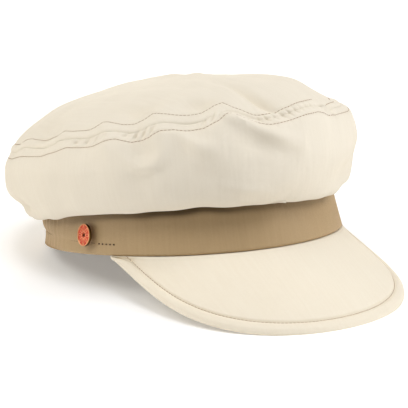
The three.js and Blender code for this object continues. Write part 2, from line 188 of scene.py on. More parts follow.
camera_data = bpy.data.cameras.new("photo_camera")
camera_data.lens = LENS_PIXELS / PHOTO_PIXELS * SENSOR
camera_data.sensor_width = SENSOR
camera = bpy.data.objects.new("photo_camera", camera_data)
bpy.context.scene.collection.objects.link(camera)
camera.location = (aim + backward * CAMERA_DISTANCE) * MM
camera.rotation_euler = (-backward).to_track_quat("-Z", "Y").to_euler()
camera_data.clip_start = 0.05
camera_data.clip_end = 20
bpy.context.scene.camera = camera
print("lens:", round(camera_data.lens, 2), "mm")

# %% [markdown]
# ## Cutting cloth
#
# A piece of cloth starts flat. Here it is a grid with as many squares as the finished folds need. Its
# corners are then moved to where sewing puts them, the way a sculptor pulls clay. A cloth simulation
# would fall into folds of its own, and these have to lie where the photograph shows them. The flat
# layout is kept as the UV map, in metres, so that the weave follows the cloth.

# %% A flat grid of cloth, and how it is shaped
def nothing_selected():
    bpy.ops.object.select_all(action="DESELECT")


def only(piece):
    nothing_selected()
    piece.select_set(True)
    bpy.context.view_layer.objects.active = piece


def cut_cloth(name, across, up):
    """A flat grid with that many squares across and up."""
    nothing_selected()
    bpy.ops.mesh.primitive_grid_add(x_subdivisions=across, y_subdivisions=up, size=1)
    piece = bpy.context.object
    piece.name = name
    piece.data.name = name
    return piece


def place_cloth(piece, places, flat, facts=None):
    """Moves each corner of the grid to its place, and keeps its flat layout and other facts."""
    mesh = piece.data
    rows, columns = places.shape[:2]
    corners = np.zeros(len(mesh.vertices) * 3)
    mesh.vertices.foreach_get("co", corners)
    corners = corners.reshape(-1, 3) + 0.5
    column = np.rint(corners[:, 0] * (columns - 1)).astype(int)
    row = np.rint(corners[:, 1] * (rows - 1)).astype(int)
    mesh.vertices.foreach_set("co", at_rest(places[row, column]).ravel())
    corner_of_loop = np.zeros(len(mesh.loops), int)
    mesh.loops.foreach_get("vertex_index", corner_of_loop)
    layer = mesh.uv_layers[0]
    layer.name = "flat_cloth"
    laid = (flat[row, column] * MM)[corner_of_loop]
    layer.uv.foreach_set("vector", laid.ravel())
    for name, values in (facts or {}).items():
        fact = mesh.attributes.new(name, "FLOAT", "POINT")
        fact.data.foreach_set("value", values[row, column].astype(np.float32))
    mesh.update()


# %% [markdown]
# ## Sewing cloth
#
# Edges that meet are merged, which is what a seam does. Every face is then turned outwards before the
# cloth gets its thickness, because the wall grows inwards from the outside that the folds were made on.

# %% Merging, turning and thickening
CAP_MIDDLE = Vector(at_rest([0, 5, 60]))  # a place inside the crown, to tell outside from inside


@contextmanager
def editing(piece):
    """Edit mode on one piece alone, with all of it selected."""
    only(piece)
    bpy.ops.object.mode_set(mode="EDIT")
    bpy.ops.mesh.select_all(action="SELECT")
    yield
    bpy.ops.object.mode_set(mode="OBJECT")


def sew_edges(piece, reach=0.002):
    """Merges the edges that meet, and turns every face outwards."""
    with editing(piece):
        bpy.ops.mesh.remove_doubles(threshold=reach * MM)
        bpy.ops.mesh.normals_make_consistent(inside=False)


def faces_away(piece, middle):
    """Share of the faces that look away from a point."""
    looks = [(face.center - middle).dot(face.normal) > 0 for face in piece.data.polygons]
    return sum(looks) / len(looks)


def thicken(piece, thickness):
    """The cloth's thickness goes inwards from its outside."""
    only(piece)
    wall = piece.modifiers.new("wall", "SOLIDIFY")
    wall.thickness = thickness * MM
    wall.offset = -1
    bpy.ops.object.modifier_apply(modifier=wall.name)


def soften(piece, degrees=50):
    only(piece)
    bpy.ops.object.shade_smooth_by_angle(angle=math.radians(degrees))


def triangles(piece):
    return sum(len(face.vertices) - 2 for face in piece.data.polygons)


def finish_shell(piece, wall):
    """Sews an open sheet, turns its outside away from the head and gives it a wall."""
    sew_edges(piece)
    if faces_away(piece, CAP_MIDDLE) < 0.5:
        with editing(piece):
            bpy.ops.mesh.flip_normals()
    print(piece.name, "looks outwards:", round(faces_away(piece, CAP_MIDDLE), 2))
    thicken(piece, wall)
    soften(piece)
    print(piece.name, "has", triangles(piece), "triangles")


def join_pieces(name, pieces):
    """Makes one piece of many."""
    nothing_selected()
    for piece in pieces:
        piece.select_set(True)
    bpy.context.view_layer.objects.active = pieces[0]
    bpy.ops.object.join()
    joined = bpy.context.object
    joined.name = name
    joined.data.name = name
    return joined


print("the cap's middle:", [round(part, 4) for part in CAP_MIDDLE])

# %% [markdown]
# ## The shape of the crown
#
# The crown is a bag of cloth that spreads out over the band. A few oval rings give its full shape: each
# ring has its size and the height it has at five places round the cap. A smooth curve runs through the
# rings at every angle. The puckers, folds and dents are then pushed in or out along the surface.

# %% Rings of the crown, from under its overhang to the middle of its top
# Each row: outside the band by, shift back, then the height in front, fore, side, aft and back.
CROWN_RINGS = {
    "seam": (-6.3, 0, 31.6, 31.6, 31.6, 31.6, 31.6),
    "under": (-0.5, 1.5, 27.8, 28.6, 25.5, 23, 21.5),
    "lip": (6, 3.5, 23, 25.4, 19.2, 15.2, 15),
    "low": (11, 4.8, 28.5, 29.5, 25.5, 20.8, 19.2),
    "belly": (15, 4.8, 38.5, 40, 39, 33, 28),
    "flank": (16.5, 4.8, 52, 50.5, 48.5, 44, 40),
    "low_stitch": (12.8, 4.8, 69, 66.5, 57.5, 50.5, 46),
    "top_stitch": (5.2, 4.8, 76.5, 73.5, 68, 60, 55),
    "dome": (-15, 4.8, 86, 84, 80.5, 75, 69.5),
    "high": (-43, 4.8, 91.2, 90.5, 88, 86, 84.5),
    "tip": (-72, 4.8, 94, 93.4, 92, 91.2, 91),
    "middle": (None, 4.8, 94, 94, 94, 94, 94),
}
LEVELS = {name: level for level, name in enumerate(CROWN_RINGS)}
TOP_SEAM = (LEVELS["low_stitch"] + LEVELS["top_stitch"]) / 2
MIDDLE = LEVELS["middle"]
LEVEL_HEIGHT = 12  # millimetres of cloth from one level to the next, as folds count them


def height_around(stations, angle):
    """A smooth even curve round the cap through heights at 0, 45, 90, 135 and 180 degrees."""
    last = len(stations) - 1
    at_end = [0.5 if i in (0, last) else 1 for i in range(last + 1)]
    height = np.zeros_like(angle)
    for wave in range(last + 1):
        strength = sum(
            at_end[i] * stations[i] * math.cos(wave * i * math.pi / last) for i in range(last + 1)
        )
        height += at_end[wave] * 2 / last * strength * np.cos(wave * angle)
    return height


def ring_points(angle):
    """A point of every ring at each angle."""
    knots = []
    for over, shift, *stations in CROWN_RINGS.values():
        height = height_around(stations, angle)
        if over is None:
            knots.append(oval(angle, 0, 0, shift, height))
        else:
            knots.append(oval(angle, BAND_HALF_LENGTH + over, BAND_HALF_WIDTH + over, shift, height))
    return np.array(knots)


def plain_crown(angle, level):
    """Points of the smooth crown. Angles run along the last axis, and levels along the first.

    The curve through the rings is a cubic from ring to ring. Its leaving and arriving directions count
    the distance between rings by its square root, which keeps it calm where close rings follow far ones."""
    knots = ring_points(angle[0])
    knots = np.concatenate([[2 * knots[0] - knots[1]], knots, [2 * knots[-1] - knots[-2]]])
    ring = np.clip(np.floor(level).astype(int), 0, MIDDLE - 1)
    column = np.broadcast_to(np.arange(angle.shape[1]), level.shape)
    share = (level - ring)[..., None]
    a, b, c, d = (knots[ring + i, column] for i in range(4))
    before, here, after = (
        np.maximum(np.linalg.norm(q - p, axis=-1, keepdims=True) ** 0.5, 0.0001)
        for p, q in ((a, b), (b, c), (c, d))
    )
    leave = ((b - a) / before - (c - a) / (before + here) + (c - b) / here) * here
    arrive = ((c - b) / here - (d - b) / (here + after) + (d - c) / after) * here
    square = -3 * b + 3 * c - 2 * leave - arrive
    cube = 2 * b - 2 * c + leave + arrive
    return b + share * (leave + share * (square + share * cube))


def looks_out(surface, angle, level):
    """Direction in which a surface looks, from two short steps along it."""
    step = 0.01
    level = np.minimum(level, MIDDLE - 2 * step)
    low = np.maximum(level - step, 0)
    high = level + step
    around = surface(angle + step, level) - surface(angle - step, level)
    up = surface(angle, high) - surface(angle, low)
    normal = np.cross(up, around)
    return normal / np.linalg.norm(normal, axis=-1, keepdims=True)


print("levels:", LEVELS)
print("the crown reaches", max(over for over, *_ in CROWN_RINGS.values() if over), "mm out over the band")

# %% [markdown]
# ## Puckers, folds and dents
#
# Sewing draws the cloth together, so it swells between hollows all along the seam. The big folds and
# dents lie where the photograph shows them. Both are tables, as in the solid model, so that they are easy
# to compare. The puckers are the same there, and 15 of the folds. Eleven folds are stronger or weaker here,
# by 1.4 millimetres at most. Some of them are also wider or narrower, or lie up to about 13 millimetres
# away. Two small ones at the lip are new. The finer cloth can follow the photograph closer.

# %% Tables of puckers and folds
# Each row: degrees of a crest, degrees of the hollow next to it, rise.
PUCKERS = (
    (176, 167, 1.4), (158, 149, 1.2), (140, 131, 1.5), (121, 111, 1.3), (101, 90, 1.6),
    (79.5, 69, 1.6), (61, 53.5, 1.5), (44.5, 36, 1.7), (26, 12.8, 2.2), (-8.5, -18, 1.8),
    (-33, -43, 0.7), (-54, -63, 1.5), (-74, -84, 1.2), (-94, -103, 1.6), (-113, -122, 1.3),
    (-131, -141, 1.5), (-151, -160, 1.4),
)
PUCKER_REACH_BELOW = 1.1
PUCKER_REACH_ABOVE = 0.9

# Each row: degrees, level, direction it runs in, half length, half width, rise.
FOLDS = {
    "front_ridge": (5, 5.8, 164, 14, 4.2, 0.9),
    "front_hollow": (18, 4.5, 160, 16, 7, -0.8),
    "side_hollow": (49.5, 5.5, 0, 8, 5.5, -3.2),
    "side_dip": (47, 4.55, 20, 16, 7, -1.2),
    "middle_dip": (32, 4.5, 160, 14, 7, -1.1),
    "dome_dent": (9, 7.5, 125, 15, 4, -3),
    "dome_hollow": (57.5, 7.55, 0, 12, 3, -4),
    "dome_dip": (32, 7.55, 0, 9, 2.8, -3.8),
    "rear_dip": (97, 7.15, 0, 10, 3, -2.6),
    "dome_saddle": (-23, 9.2, 90, 18, 12, -3.1),
    "dome_hump": (-26, 8.4, 0, 15, 7.5, 3.2),
    "dome_step": (-43, 7.1, 0, 22, 9, -4.4),
    "rear_notch": (114, 2.95, 0, 22, 6, -5),
    "rear_bulge": (120, 3.8, 0, 28, 9, 3),
    "rear_swell": (116, 5.7, 0, 20, 9, 0.5),
    "rear_lip": (101, 2, 0, 10, 8, 1),
    "side_lip": (74, 2, 0, 9, 8, -1),
    "side_low_lip": (57, 2, 0, 8, 8, 1.1),
    "fore_lip": (35, 2, 0, 9, 8, -0.7),
    "left_lip": (-20, 2, 0, 10, 8, 1),
    "front_lip": (15.5, 2, 0, 15, 8, -1.6),
    "left_flat": (-42, 3.9, 90, 14, 28, -2.9),
    "left_low_flat": (-25, 3.5, 0, 18, 7, -2.9),
    "left_small_dip": (-38, 4.9, 80, 8, 6, -1.5),
    "left_hollow": (-96, 4.6, 150, 20, 7, -2),
    "left_ridge": (-84, 5.1, 145, 18, 5, 1.6),
    "left_dent": (-118, 7.8, 60, 20, 8, -1.8),
    "back_hollow": (172, 4.3, 15, 26, 7, -1.8),
}

print(len(PUCKERS), "puckers and", len(FOLDS), "folds")

# %% [markdown]
# ## From a table to relief
#
# Each fold is one stroke of a sculptor's tool, written down: a soft bump that is long one way and narrow
# the other, turned to the direction in which the fold runs. All strokes add up to one height, which
# is pushed out along the way the cloth looks. A brush would do the same by hand, but not twice alike.

# %% How puckers, folds and ripples push the cloth
RIPPLE_WAVES = 26


def pucker_wave(angle):
    """Rise of the puckers round the seam: it swings from each crest to the hollow next to it."""
    knots = np.array(sorted(
        (place + turn, height)
        for crest, hollow, rise in PUCKERS
        for place, height in ((crest, rise), (hollow, -rise))
        for turn in (-360, 0, 360)
    ))
    degrees = np.degrees(angle)
    after = np.searchsorted(knots[:, 0], degrees)
    a, b = knots[after - 1], knots[after]
    share = (degrees - a[..., 0]) / (b[..., 0] - a[..., 0])
    return a[..., 1] + (b[..., 1] - a[..., 1]) * smooth(share)


def pucker_relief(angle, level):
    """The puckers fade out below and above the seam."""
    away = level - TOP_SEAM
    reach = np.where(away < 0, PUCKER_REACH_BELOW, PUCKER_REACH_ABOVE)
    return pucker_wave(angle) * bell(away, reach)


def fold_relief(fold, angle, level, radius):
    """Rise of one fold, measured along it and across it."""
    at, on, runs, long, wide, rise = fold
    across = -signed_turn(angle - math.radians(at)) * radius
    up = (level - on) * LEVEL_HEIGHT
    runs = math.radians(runs)
    along = across * math.cos(runs) + up * math.sin(runs)
    over = up * math.cos(runs) - across * math.sin(runs)
    return rise * bell(along, long) * bell(over, wide)


def ripples(points, longest, shortest, seed):
    """Soft unevenness, from -1 to 1, as a sum of waves that run in all directions."""
    random = np.random.default_rng(seed)
    total = np.zeros(points.shape[:-1])
    for _ in range(RIPPLE_WAVES):
        direction = random.normal(size=3)
        direction /= np.linalg.norm(direction)
        length = random.uniform(shortest, longest)
        total += np.sin(points @ direction * 2 * math.pi / length + random.uniform(0, 2 * math.pi))
    return total / math.sqrt(RIPPLE_WAVES)


print("highest pucker:", round(pucker_wave(np.linspace(-np.pi, np.pi, 721)).max(), 2), "mm")

# %% [markdown]
# ## Sharper creases
#
# Where the photograph shows a bright streak above a darker one, the cloth makes a small step: a narrow
# crest that catches the light, and cloth below it that turns away. A crease is a bent line with a height.
# A broad low shelf carries the crest, as the swell of the real fold does, and a foot deepens the shade.
# They are finer than the solid model's triangles, so they are made here alone.

# %% Creases, each a bent line through three places
# Each row: start, bend and end as (degrees, level), then half width and rise.
CREASES = {
    "under_fold": ((56.5, 5.6), (49.5, 5.0), (42.8, 5.4), 3, 1.9),
    "under_fold_foot": ((54, 5.1), (49.5, 4.6), (43, 4.9), 3.4, -0.2),
    "middle_fold": ((39.5, 6.05), (33, 5.5), (26.5, 5.35), 2.5, 2.6),
    "middle_fold_shelf": ((37, 5.5), (32, 5.2), (25, 5.0), 6, 0.9),
    "front_fold": ((26, 6.7), (14.8, 5.83), (0, 5.15), 2.8, 3.2),
    "front_fold_shelf": ((25, 6.5), (15, 5.75), (2, 5.1), 7, 1.6),
    "dome_fold": ((15, 8.3), (10.8, 7.6), (6, 6.95), 2.2, -2.6),
    "dome_fold_side": ((23, 8.3), (18, 7.65), (14, 7.15), 4, 0.3),
    "crest_back": ((34, 7.6), (29, 7.7), (25, 8), 3.5, -0.8),
    "front_fold_foot": ((25, 5.95), (17, 5.45), (4, 4.95), 4, -1.5),
    "low_fold": ((27, 3.9), (20, 3.55), (13, 3.4), 2.5, 0.9),
    "front_corner": ((-14, 7.0), (-17, 6.5), (-19, 5.9), 2, 2),
    "front_corner_foot": ((-18, 7.2), (-21, 6.6), (-22, 5.9), 2.6, -1.8),
}
CREASE_PARTS = 8
CREASE_END_SHARE = 0.3


def crease_relief(crease, angle, level, radius):
    """Rise of one crease: highest in its middle, lower at its ends, and less with distance."""
    start, bend, end, wide, rise = crease
    start, bend, end = (np.array(place) for place in (start, bend, end))
    share = np.linspace(0, 1, CREASE_PARTS + 1)[:, None]
    pull = 2 * bend - (start + end) / 2
    line = (1 - share) ** 2 * start + 2 * share * (1 - share) * pull + share ** 2 * end
    nearest = np.full(level.shape, 1e9)
    where = np.zeros(level.shape)
    for i, (here, there) in enumerate(zip(line, line[1:])):
        across = -signed_turn(angle - math.radians(here[0])) * radius
        up = (level - here[1]) * LEVEL_HEIGHT
        run = -math.radians(there[0] - here[0]) * radius
        climb = (there[1] - here[1]) * LEVEL_HEIGHT
        along = np.clip((across * run + up * climb) / (run ** 2 + climb ** 2 + 1e-9), 0, 1)
        away = (across - along * run) ** 2 + (up - along * climb) ** 2
        closer = away < nearest
        nearest = np.where(closer, away, nearest)
        where = np.where(closer, (i + along) / CREASE_PARTS, where)
    full = CREASE_END_SHARE + (1 - CREASE_END_SHARE) * np.sin(np.pi * where)
    return rise * np.exp(-nearest / wide ** 2) * full


print("creases:", ", ".join(CREASES))

# %% [markdown]
# ## The crown's outside, folds and all
#
# All of the relief fades out at the seam with the band, which holds the cloth, and in the middle of the
# top, where it lies flat. A faint unevenness is added last, because no real cloth is as smooth as a curve.

# %% One surface from rings, puckers, folds and creases
RELIEF_FADE_LEVELS = 2
CLOTH_UNEVENNESS = 0.42
UNEVEN_LONGEST = 40
UNEVEN_SHORTEST = 15
UNEVEN_SEED = 3


def crown_point(angle, level):
    """The crown's outside, still without its rows and seam."""
    from_band = np.minimum(level / RELIEF_FADE_LEVELS, 1)
    from_middle = np.minimum((MIDDLE - level) / RELIEF_FADE_LEVELS, 1)
    plain = plain_crown(angle, level)
    radius = np.hypot(plain[..., 0], plain[..., 1])
    relief = pucker_relief(angle, level)
    for fold in FOLDS.values():
        relief = relief + fold_relief(fold, angle, level, radius)
    for crease in CREASES.values():
        relief = relief + crease_relief(crease, angle, level, radius)
    relief = relief * (smooth(from_band) * smooth(from_middle))
    uneven = ripples(plain, UNEVEN_LONGEST, UNEVEN_SHORTEST, UNEVEN_SEED)
    relief = relief + CLOTH_UNEVENNESS * uneven * smooth(np.clip(level, 0, 1))
    return plain + relief[..., None] * looks_out(plain_crown, angle, level)


front_belly = crown_point(np.zeros((1, 1)), np.full((1, 1), float(LEVELS["belly"])))[0, 0]
print("front of the crown's belly rests at:", np.round(at_rest(front_belly), 4))

# %% [markdown]
# ## The stitched seam round the crown
#
# The side and the top are joined by a seam with a row of stitches on each side of it. The thread pulls
# the cloth down into a narrow valley, the turned-in edges under it make the strip between the rows a
# little thicker, and small slanting folds run across it.
#
# The rows aren't level: they climb over each fold. So the whole cloth around them is shifted up and
# down along itself before it is folded, which keeps rows, seam and weave together.

# %% How the two rows wander up and down
# Each row: degrees, then by how many levels the low and the top row leave their own.
ROW_WANDER = (
    (-32, -0.05, -0.1), (-18, -0.05, -0.2), (-16, 0, 0.1), (-14, 0.1, 0.12), (-10, 0.15, 0.05),
    (-5.5, 0.1, -0.05), (1, 0, -0.2), (7, -0.08, -0.2), (10, -0.08, -0.3), (13, 0, -0.24),
    (14.5, 0.12, -0.14), (16, 0.28, 0), (18.5, 0.5, 0.14), (20, 0.62, 0.2), (23, 0.55, 0.45),
    (26.5, 0.3, 0.4), (31, 0.1, 0.2), (35, 0.15, 0.2), (40, 0.25, 0.2), (44, 0.2, 0.25),
    (47.5, 0, 0.35), (50, -0.05, 0.2), (53.5, -0.05, 0.12), (58, 0.15, 0.1), (61, 0.1, 0.15),
    (64, 0.03, 0.25), (66, 0, 0.3), (70, 0.05, 0.06), (76, 0.1, -0.05), (80, -0.05, 0),
    (82, -0.08, -0.25), (91, -0.08, -0.25), (99, -0.08, -0.15), (105, -0.15, -0.25), (112, -0.2, -0.3),
    (118, -0.2, -0.4), (126, -0.1, -0.2),
)
WANDER_LOWEST = 4.4
WANDER_HIGHEST = 8.8
SEEN_FROM, SEEN_FROM_FADE = -38, 8
SEEN_TO, SEEN_TO_FADE = 136, 12
UNSEEN_WANDER = 0.12


def wandering(angle, level):
    """The level at which a place of the cloth ends up. Where the photograph doesn't show the rows, they
    follow the puckers."""
    rows = np.array(ROW_WANDER)
    degrees = np.degrees(angle)
    seen_from = np.clip((degrees - SEEN_FROM) / SEEN_FROM_FADE, 0, 1)
    seen_to = np.clip((SEEN_TO - degrees) / SEEN_TO_FADE, 0, 1)
    seen = smooth(seen_from) * smooth(seen_to)
    unseen = UNSEEN_WANDER * pucker_wave(angle)
    low = unseen + (np.interp(degrees, rows[:, 0], rows[:, 1]) - unseen) * seen
    top = unseen + (np.interp(degrees, rows[:, 0], rows[:, 2]) - unseen) * seen
    share = np.clip(level - LEVELS["low_stitch"], 0, 1)
    below = np.clip((level - WANDER_LOWEST) / (LEVELS["low_stitch"] - WANDER_LOWEST), 0, 1)
    above = np.clip((WANDER_HIGHEST - level) / (WANDER_HIGHEST - LEVELS["top_stitch"]), 0, 1)
    return level + (low + (top - low) * share) * smooth(below) * smooth(above)


climb = max(low for _, low, _ in ROW_WANDER) * LEVEL_HEIGHT
print("the low row climbs up to", round(climb, 1), "mm above its level")

# %% [markdown]
# ## Fine relief at the rows
#
# Each row of stitches lies in a narrow valley of its own, and the two edges of the seam meet in a sharper
# one between them. Where sewing has drawn the cloth together, short slanting grooves cross the strip in
# groups. All of this is under two millimetres deep, too fine for the solid model, and is added last.

# %% Valleys, the strip and its small folds
ROW_LEVELS = (LEVELS["low_stitch"], LEVELS["top_stitch"])
ROW_VALLEY = 0.32
ROW_VALLEY_WIDTH = 0.9
SEAM_VALLEY = 0.5
SEAM_VALLEY_WIDTH = 0.5
STRIP_RISE = 0.6
STRIP_CREST_LEVEL = 6.76
STRIP_DIP_LEVEL = 6.25
STRIP_DIP_SHARE = 0.6
STRIP_WIDTH = 0.2
ROW_CALM = 0.7
ROW_CALM_WIDTH = 1.5
# Each row: from and to degrees, degrees apart, slant, level, reach, depth.
SMALL_FOLDS = (
    (62, 76, 3.4, 6, 6.25, 0.2, 1.4),
    (45.5, 56, 3.3, 6.3, 6.25, 0.22, 1.9),
    (24.5, 33, 2.9, 8, 6.35, 0.26, 1),
    (-12, 14, 2.7, -7, 6.5, 0.4, 0.9),
    (82, 96, 3, 8, 6.6, 0.4, 0.3),
    (-42, -24, 2.8, -8, 6.4, 0.5, 0.4),
    (-66, -50, 3, -8, 6.3, 0.4, 0.5),
    (-90, -74, 3, 8, 6.3, 0.4, 0.5),
    (-126, -108, 3, 8, 6.4, 0.4, 0.5),
    (-164, -140, 3, -8, 6.4, 0.4, 0.5),
    (106, 128, 3, 8, 6.3, 0.4, 0.5),
    (142, 168, 3, -8, 6.4, 0.4, 0.5),
)


def small_folds(angle, level):
    """Slanting grooves, some 5 mm apart, in groups where the sewing has drawn the cloth together."""
    total = np.zeros(level.shape)
    degrees = np.degrees(angle)
    for start, end, apart, slant, at, reach, depth in SMALL_FOLDS:
        middle, half = (start + end) / 2, (end - start) / 2
        drift = 0.8 * np.sin(13 * angle + start) + 0.5 * np.sin(29 * angle)  # uneven spacing
        turns = 2 * np.pi * (degrees - start) / apart + slant * (level - at) + drift
        groove = np.maximum(np.sin(turns), 0) ** 1.5
        here = smooth(np.clip((half + 1.5 - np.abs(degrees - middle)) / 4, 0, 1))
        total -= depth * groove * here * bell(level - at, reach)
    return total


def dressed_crown(angle, level):
    """The crown's outside with its seam: where each corner lies, and how long the cloth is up to there."""
    settled = wandering(angle, level)
    places = crown_point(angle, settled)
    out = looks_out(crown_point, angle, settled)
    length = run_length(places)
    crest = bell(level - STRIP_CREST_LEVEL, STRIP_WIDTH)
    dip = bell(level - STRIP_DIP_LEVEL, STRIP_WIDTH)
    relief = STRIP_RISE * (crest - STRIP_DIP_SHARE * dip)
    relief = relief + small_folds(angle, level)
    for row in (*ROW_LEVELS, TOP_SEAM):
        if not level.min() - 0.05 <= row <= level.max() + 0.05:
            continue
        at = np.array([np.interp(row, level[:, c], length[:, c]) for c in range(level.shape[1])])
        away = length - at
        if row == TOP_SEAM:
            relief = relief - SEAM_VALLEY * bell(away, SEAM_VALLEY_WIDTH)
        else:
            relief = relief * (1 - ROW_CALM * bell(away, ROW_CALM_WIDTH))
            relief = relief - ROW_VALLEY * bell(away, ROW_VALLEY_WIDTH)
    return places + relief[..., None] * out, length


print(len(SMALL_FOLDS), "groups of small folds; the rows run on levels", ROW_LEVELS)

# %% [markdown]
# ## The side of the crown
#
# On the real cap this is a long strip of cotton, sewn to the top above and to the band below. It starts
# as a hem tucked behind the band, comes out over the band's edge, hangs down past it as a lip and rises
# to the stitched seam. More columns lie towards the front, where the sharpest creases are.
#
# Under the lip, cloth shades cloth in a dark line that is narrower than big soft lights can draw. The
# attribute in_shade, from 0 in the light to 1 in full shade, marks that place, and the finish paints that
# shade into the cloth's colour.

# %% Steps round the cap and up the cloth
CROWN_COLUMNS = 800
CROWN_CROWDING = 0.38
CROWDED_ANGLE = math.radians(25)
SEAM_GAP = 0.04


def angles_across(columns, crowding=0.0):
    """Angles all round from the back, closer together in front where crowding is above 0."""
    even = np.linspace(-np.pi, np.pi, columns + 1)[None, :]
    # the sines move the columns together near CROWDED_ANGLE and leave the back edges where they meet
    return even - crowding * (np.sin(even - CROWDED_ANGLE) - math.sin(CROWDED_ANGLE))


def level_steps(*spans):
    """Levels in runs: each span gives its end and how many steps lead there."""
    levels = [spans[0]]
    for end, steps in spans[1:]:
        start = levels[-1]
        levels += [start + (end - start) * (i + 1) / steps for i in range(steps)]
    return np.array(levels)


crown_angles = angles_across(CROWN_COLUMNS, CROWN_CROWDING)
crown_angle = crown_angles[0]
print("columns lie", np.round(np.degrees([np.diff(crown_angle).min(), np.diff(crown_angle).max()]), 2),
      "degrees apart")

# %% Side of the crown, from its hem behind the band to the seam with the top
LIP_SHADE = 0.05
LIP_SHADE_HEIGHT = 3

side_levels = level_steps(
    0.12, (2.6, 15), (5.4, 18), (5.8, 4), (6.2, 9), (TOP_SEAM - SEAM_GAP / LEVEL_HEIGHT, 7)
)
angle, level = np.broadcast_arrays(crown_angles, side_levels[:, None])
side_places, _ = dressed_crown(angle, level)

hem_inset = BAND_WALL + SEAM_CLEARANCE
over_band = BAND_HEIGHT + SEAM_CLEARANCE
hem_heights = (BAND_HEIGHT - CROWN_HEM, BAND_HEIGHT - CROWN_HEM / 2, over_band)
hem = [band_point(crown_angle, height, hem_inset) for height in hem_heights]
hem.append(band_point(crown_angle, over_band + 0.2, 0))
side_places = np.concatenate([hem, side_places])
side_length = run_length(side_places)
cut_width = crown_angle * (BAND_HALF_LENGTH + BAND_HALF_WIDTH) / 2
side_flat = np.stack([np.broadcast_to(cut_width, side_length.shape), side_length], -1)

lip_height = side_places[len(hem):, :, 2].min(0)
above_lip = np.maximum(side_places[..., 2] - lip_height, 0)
across_band = side_places[..., 0] / (BAND_HALF_WIDTH - 1)
along_band = side_places[..., 1] / (BAND_HALF_LENGTH - 1)
outside = across_band ** 2 + along_band ** 2 > 1
# painted shade: full on the cloth tucked inside the band, and faint just above the lip
side_shade = np.where(outside, LIP_SHADE * bell(above_lip, LIP_SHADE_HEIGHT), 1)

crown_side = cut_cloth("crown_side_cloth", CROWN_COLUMNS, len(side_places) - 1)
place_cloth(crown_side, side_places, side_flat, {"in_shade": side_shade})
finish_shell(crown_side, CROWN_WALL)

# %% [markdown]
# ## The top of the crown
#
# The top is one oval panel, sewn in all round its edge. It is the same kind of grid, and its last row
# shrinks to one point in the middle, where it is merged. Its flat layout is a disc measured out from the
# middle, so the weave runs straight across it as on a panel cut from one cloth.

# %% Top of the crown, from the seam to its middle
TOP_FLAT_PLACE = np.array([200.0, 200.0])

top_levels = level_steps(
    TOP_SEAM + SEAM_GAP / LEVEL_HEIGHT, (6.8, 7), (7.2, 9), (7.6, 4), (9, 14), (MIDDLE, 9)
)
angle, level = np.broadcast_arrays(crown_angles, top_levels[:, None])
top_places, top_length = dressed_crown(angle, level)
top_places[-1] = plain_crown(angle, level)[-1]
from_middle = top_length[-1] - top_length
top_flat = np.stack([from_middle * np.sin(angle), from_middle * np.cos(angle)], -1)
top_flat = top_flat + TOP_FLAT_PLACE

crown_top = cut_cloth("crown_top_cloth", CROWN_COLUMNS, len(top_places) - 1)
place_cloth(crown_top, top_places, top_flat)
finish_shell(crown_top, CROWN_WALL)

# %% [markdown]
# ## The head band
#
# The band is a strip of doubled taupe cloth. It is smooth over the front and sides. Towards the back it
# hides an elastic, which draws it into upright gathers and pinches it in along one stitched line. Gathers
# are waves of two lengths whose spacing drifts, since a single wave would look like a curtain.

# %% Gathers over the elastic, and a faint unevenness
BAND_MEAN_RADIUS = 96
CHANNEL_HEIGHT = 5.9
CHANNEL_START = math.radians(77)
CHANNEL_DEPTH = 0.4
CHANNEL_WIDTH = 0.7
GATHER_START = math.radians(88)
GATHER_FADE = 0.5
GATHER_RISE = 0.8
GATHER_PITCH = 7.5
GATHER_SMALL_PITCH = 4.3
GATHER_FLARE = 2.6
GATHER_DRAW_IN = 1.3
DRAW_PITCH = 6.1
DRAW_RISE = 0.16
BAND_UNEVENNESS = 0.12
BAND_UNEVEN_SEED = 8


def gathers(angle, height):
    """The elastic draws the band in at its channel, and the cloth above it flares out in waves."""
    away = np.abs(signed_turn(angle))
    behind = smooth(np.clip((away - GATHER_START) / GATHER_FADE, 0, 1))
    arc = away * BAND_MEAN_RADIUS
    wave = np.sin(arc * 2 * np.pi / GATHER_PITCH + 1.6 * np.sin(arc / 9))
    wave = wave + 0.5 * np.sin(arc * 2 * np.pi / GATHER_SMALL_PITCH)
    upright = 0.3 + 0.7 * smooth(np.clip((height - 8) / 14, 0, 1))
    flare = GATHER_FLARE * smooth(np.clip((height - 3) / 9, 0, 1))
    channel = smooth(np.clip((away - CHANNEL_START) / 0.08, 0, 1))
    groove = -CHANNEL_DEPTH * channel * bell(height - CHANNEL_HEIGHT, CHANNEL_WIDTH)
    return behind * (GATHER_RISE * wave * upright + flare - GATHER_DRAW_IN) + groove


def band_unevenness(angle, height):
    """Small upright waves near the band's upper edge in front, and soft unevenness all over."""
    places = band_point(angle, height)
    draw = smooth(np.clip((height - 16) / 14, 0, 1))
    arc = angle * BAND_MEAN_RADIUS
    small = DRAW_RISE * np.sin(arc * 2 * np.pi / DRAW_PITCH + 2 * np.sin(arc / 13))
    small = small * draw * bell(angle - 0.25, 0.5)
    return small + BAND_UNEVENNESS * ripples(places, 40, 18, BAND_UNEVEN_SEED)


def off_band(points):
    """Direction away from the band at points on it."""
    return points * np.array([1 / BAND_HALF_WIDTH ** 2, 1 / BAND_HALF_LENGTH ** 2, 0])


back_gathers = gathers(np.linspace(GATHER_START + GATHER_FADE, np.pi, 200), BAND_HEIGHT / 2)
print("gathers run from", round(back_gathers.min(), 1), "to", round(back_gathers.max(), 1), "mm")

# %% Band: a closed strip, with its shade under the crown
BAND_COLUMNS = 560
BAND_FLAT_RADIUS = 94
SHADE_BELOW_LIP = 2.4
SHADE_CLOSE, SHADE_CLOSE_WIDTH = 0.94, 2
SHADE_FAR, SHADE_FAR_WIDTH = 0.08, 7
CLOSEST_ANGLE, CLOSEST_WIDTH, LEAST_SHADE = 0.75, 0.6, 0.35

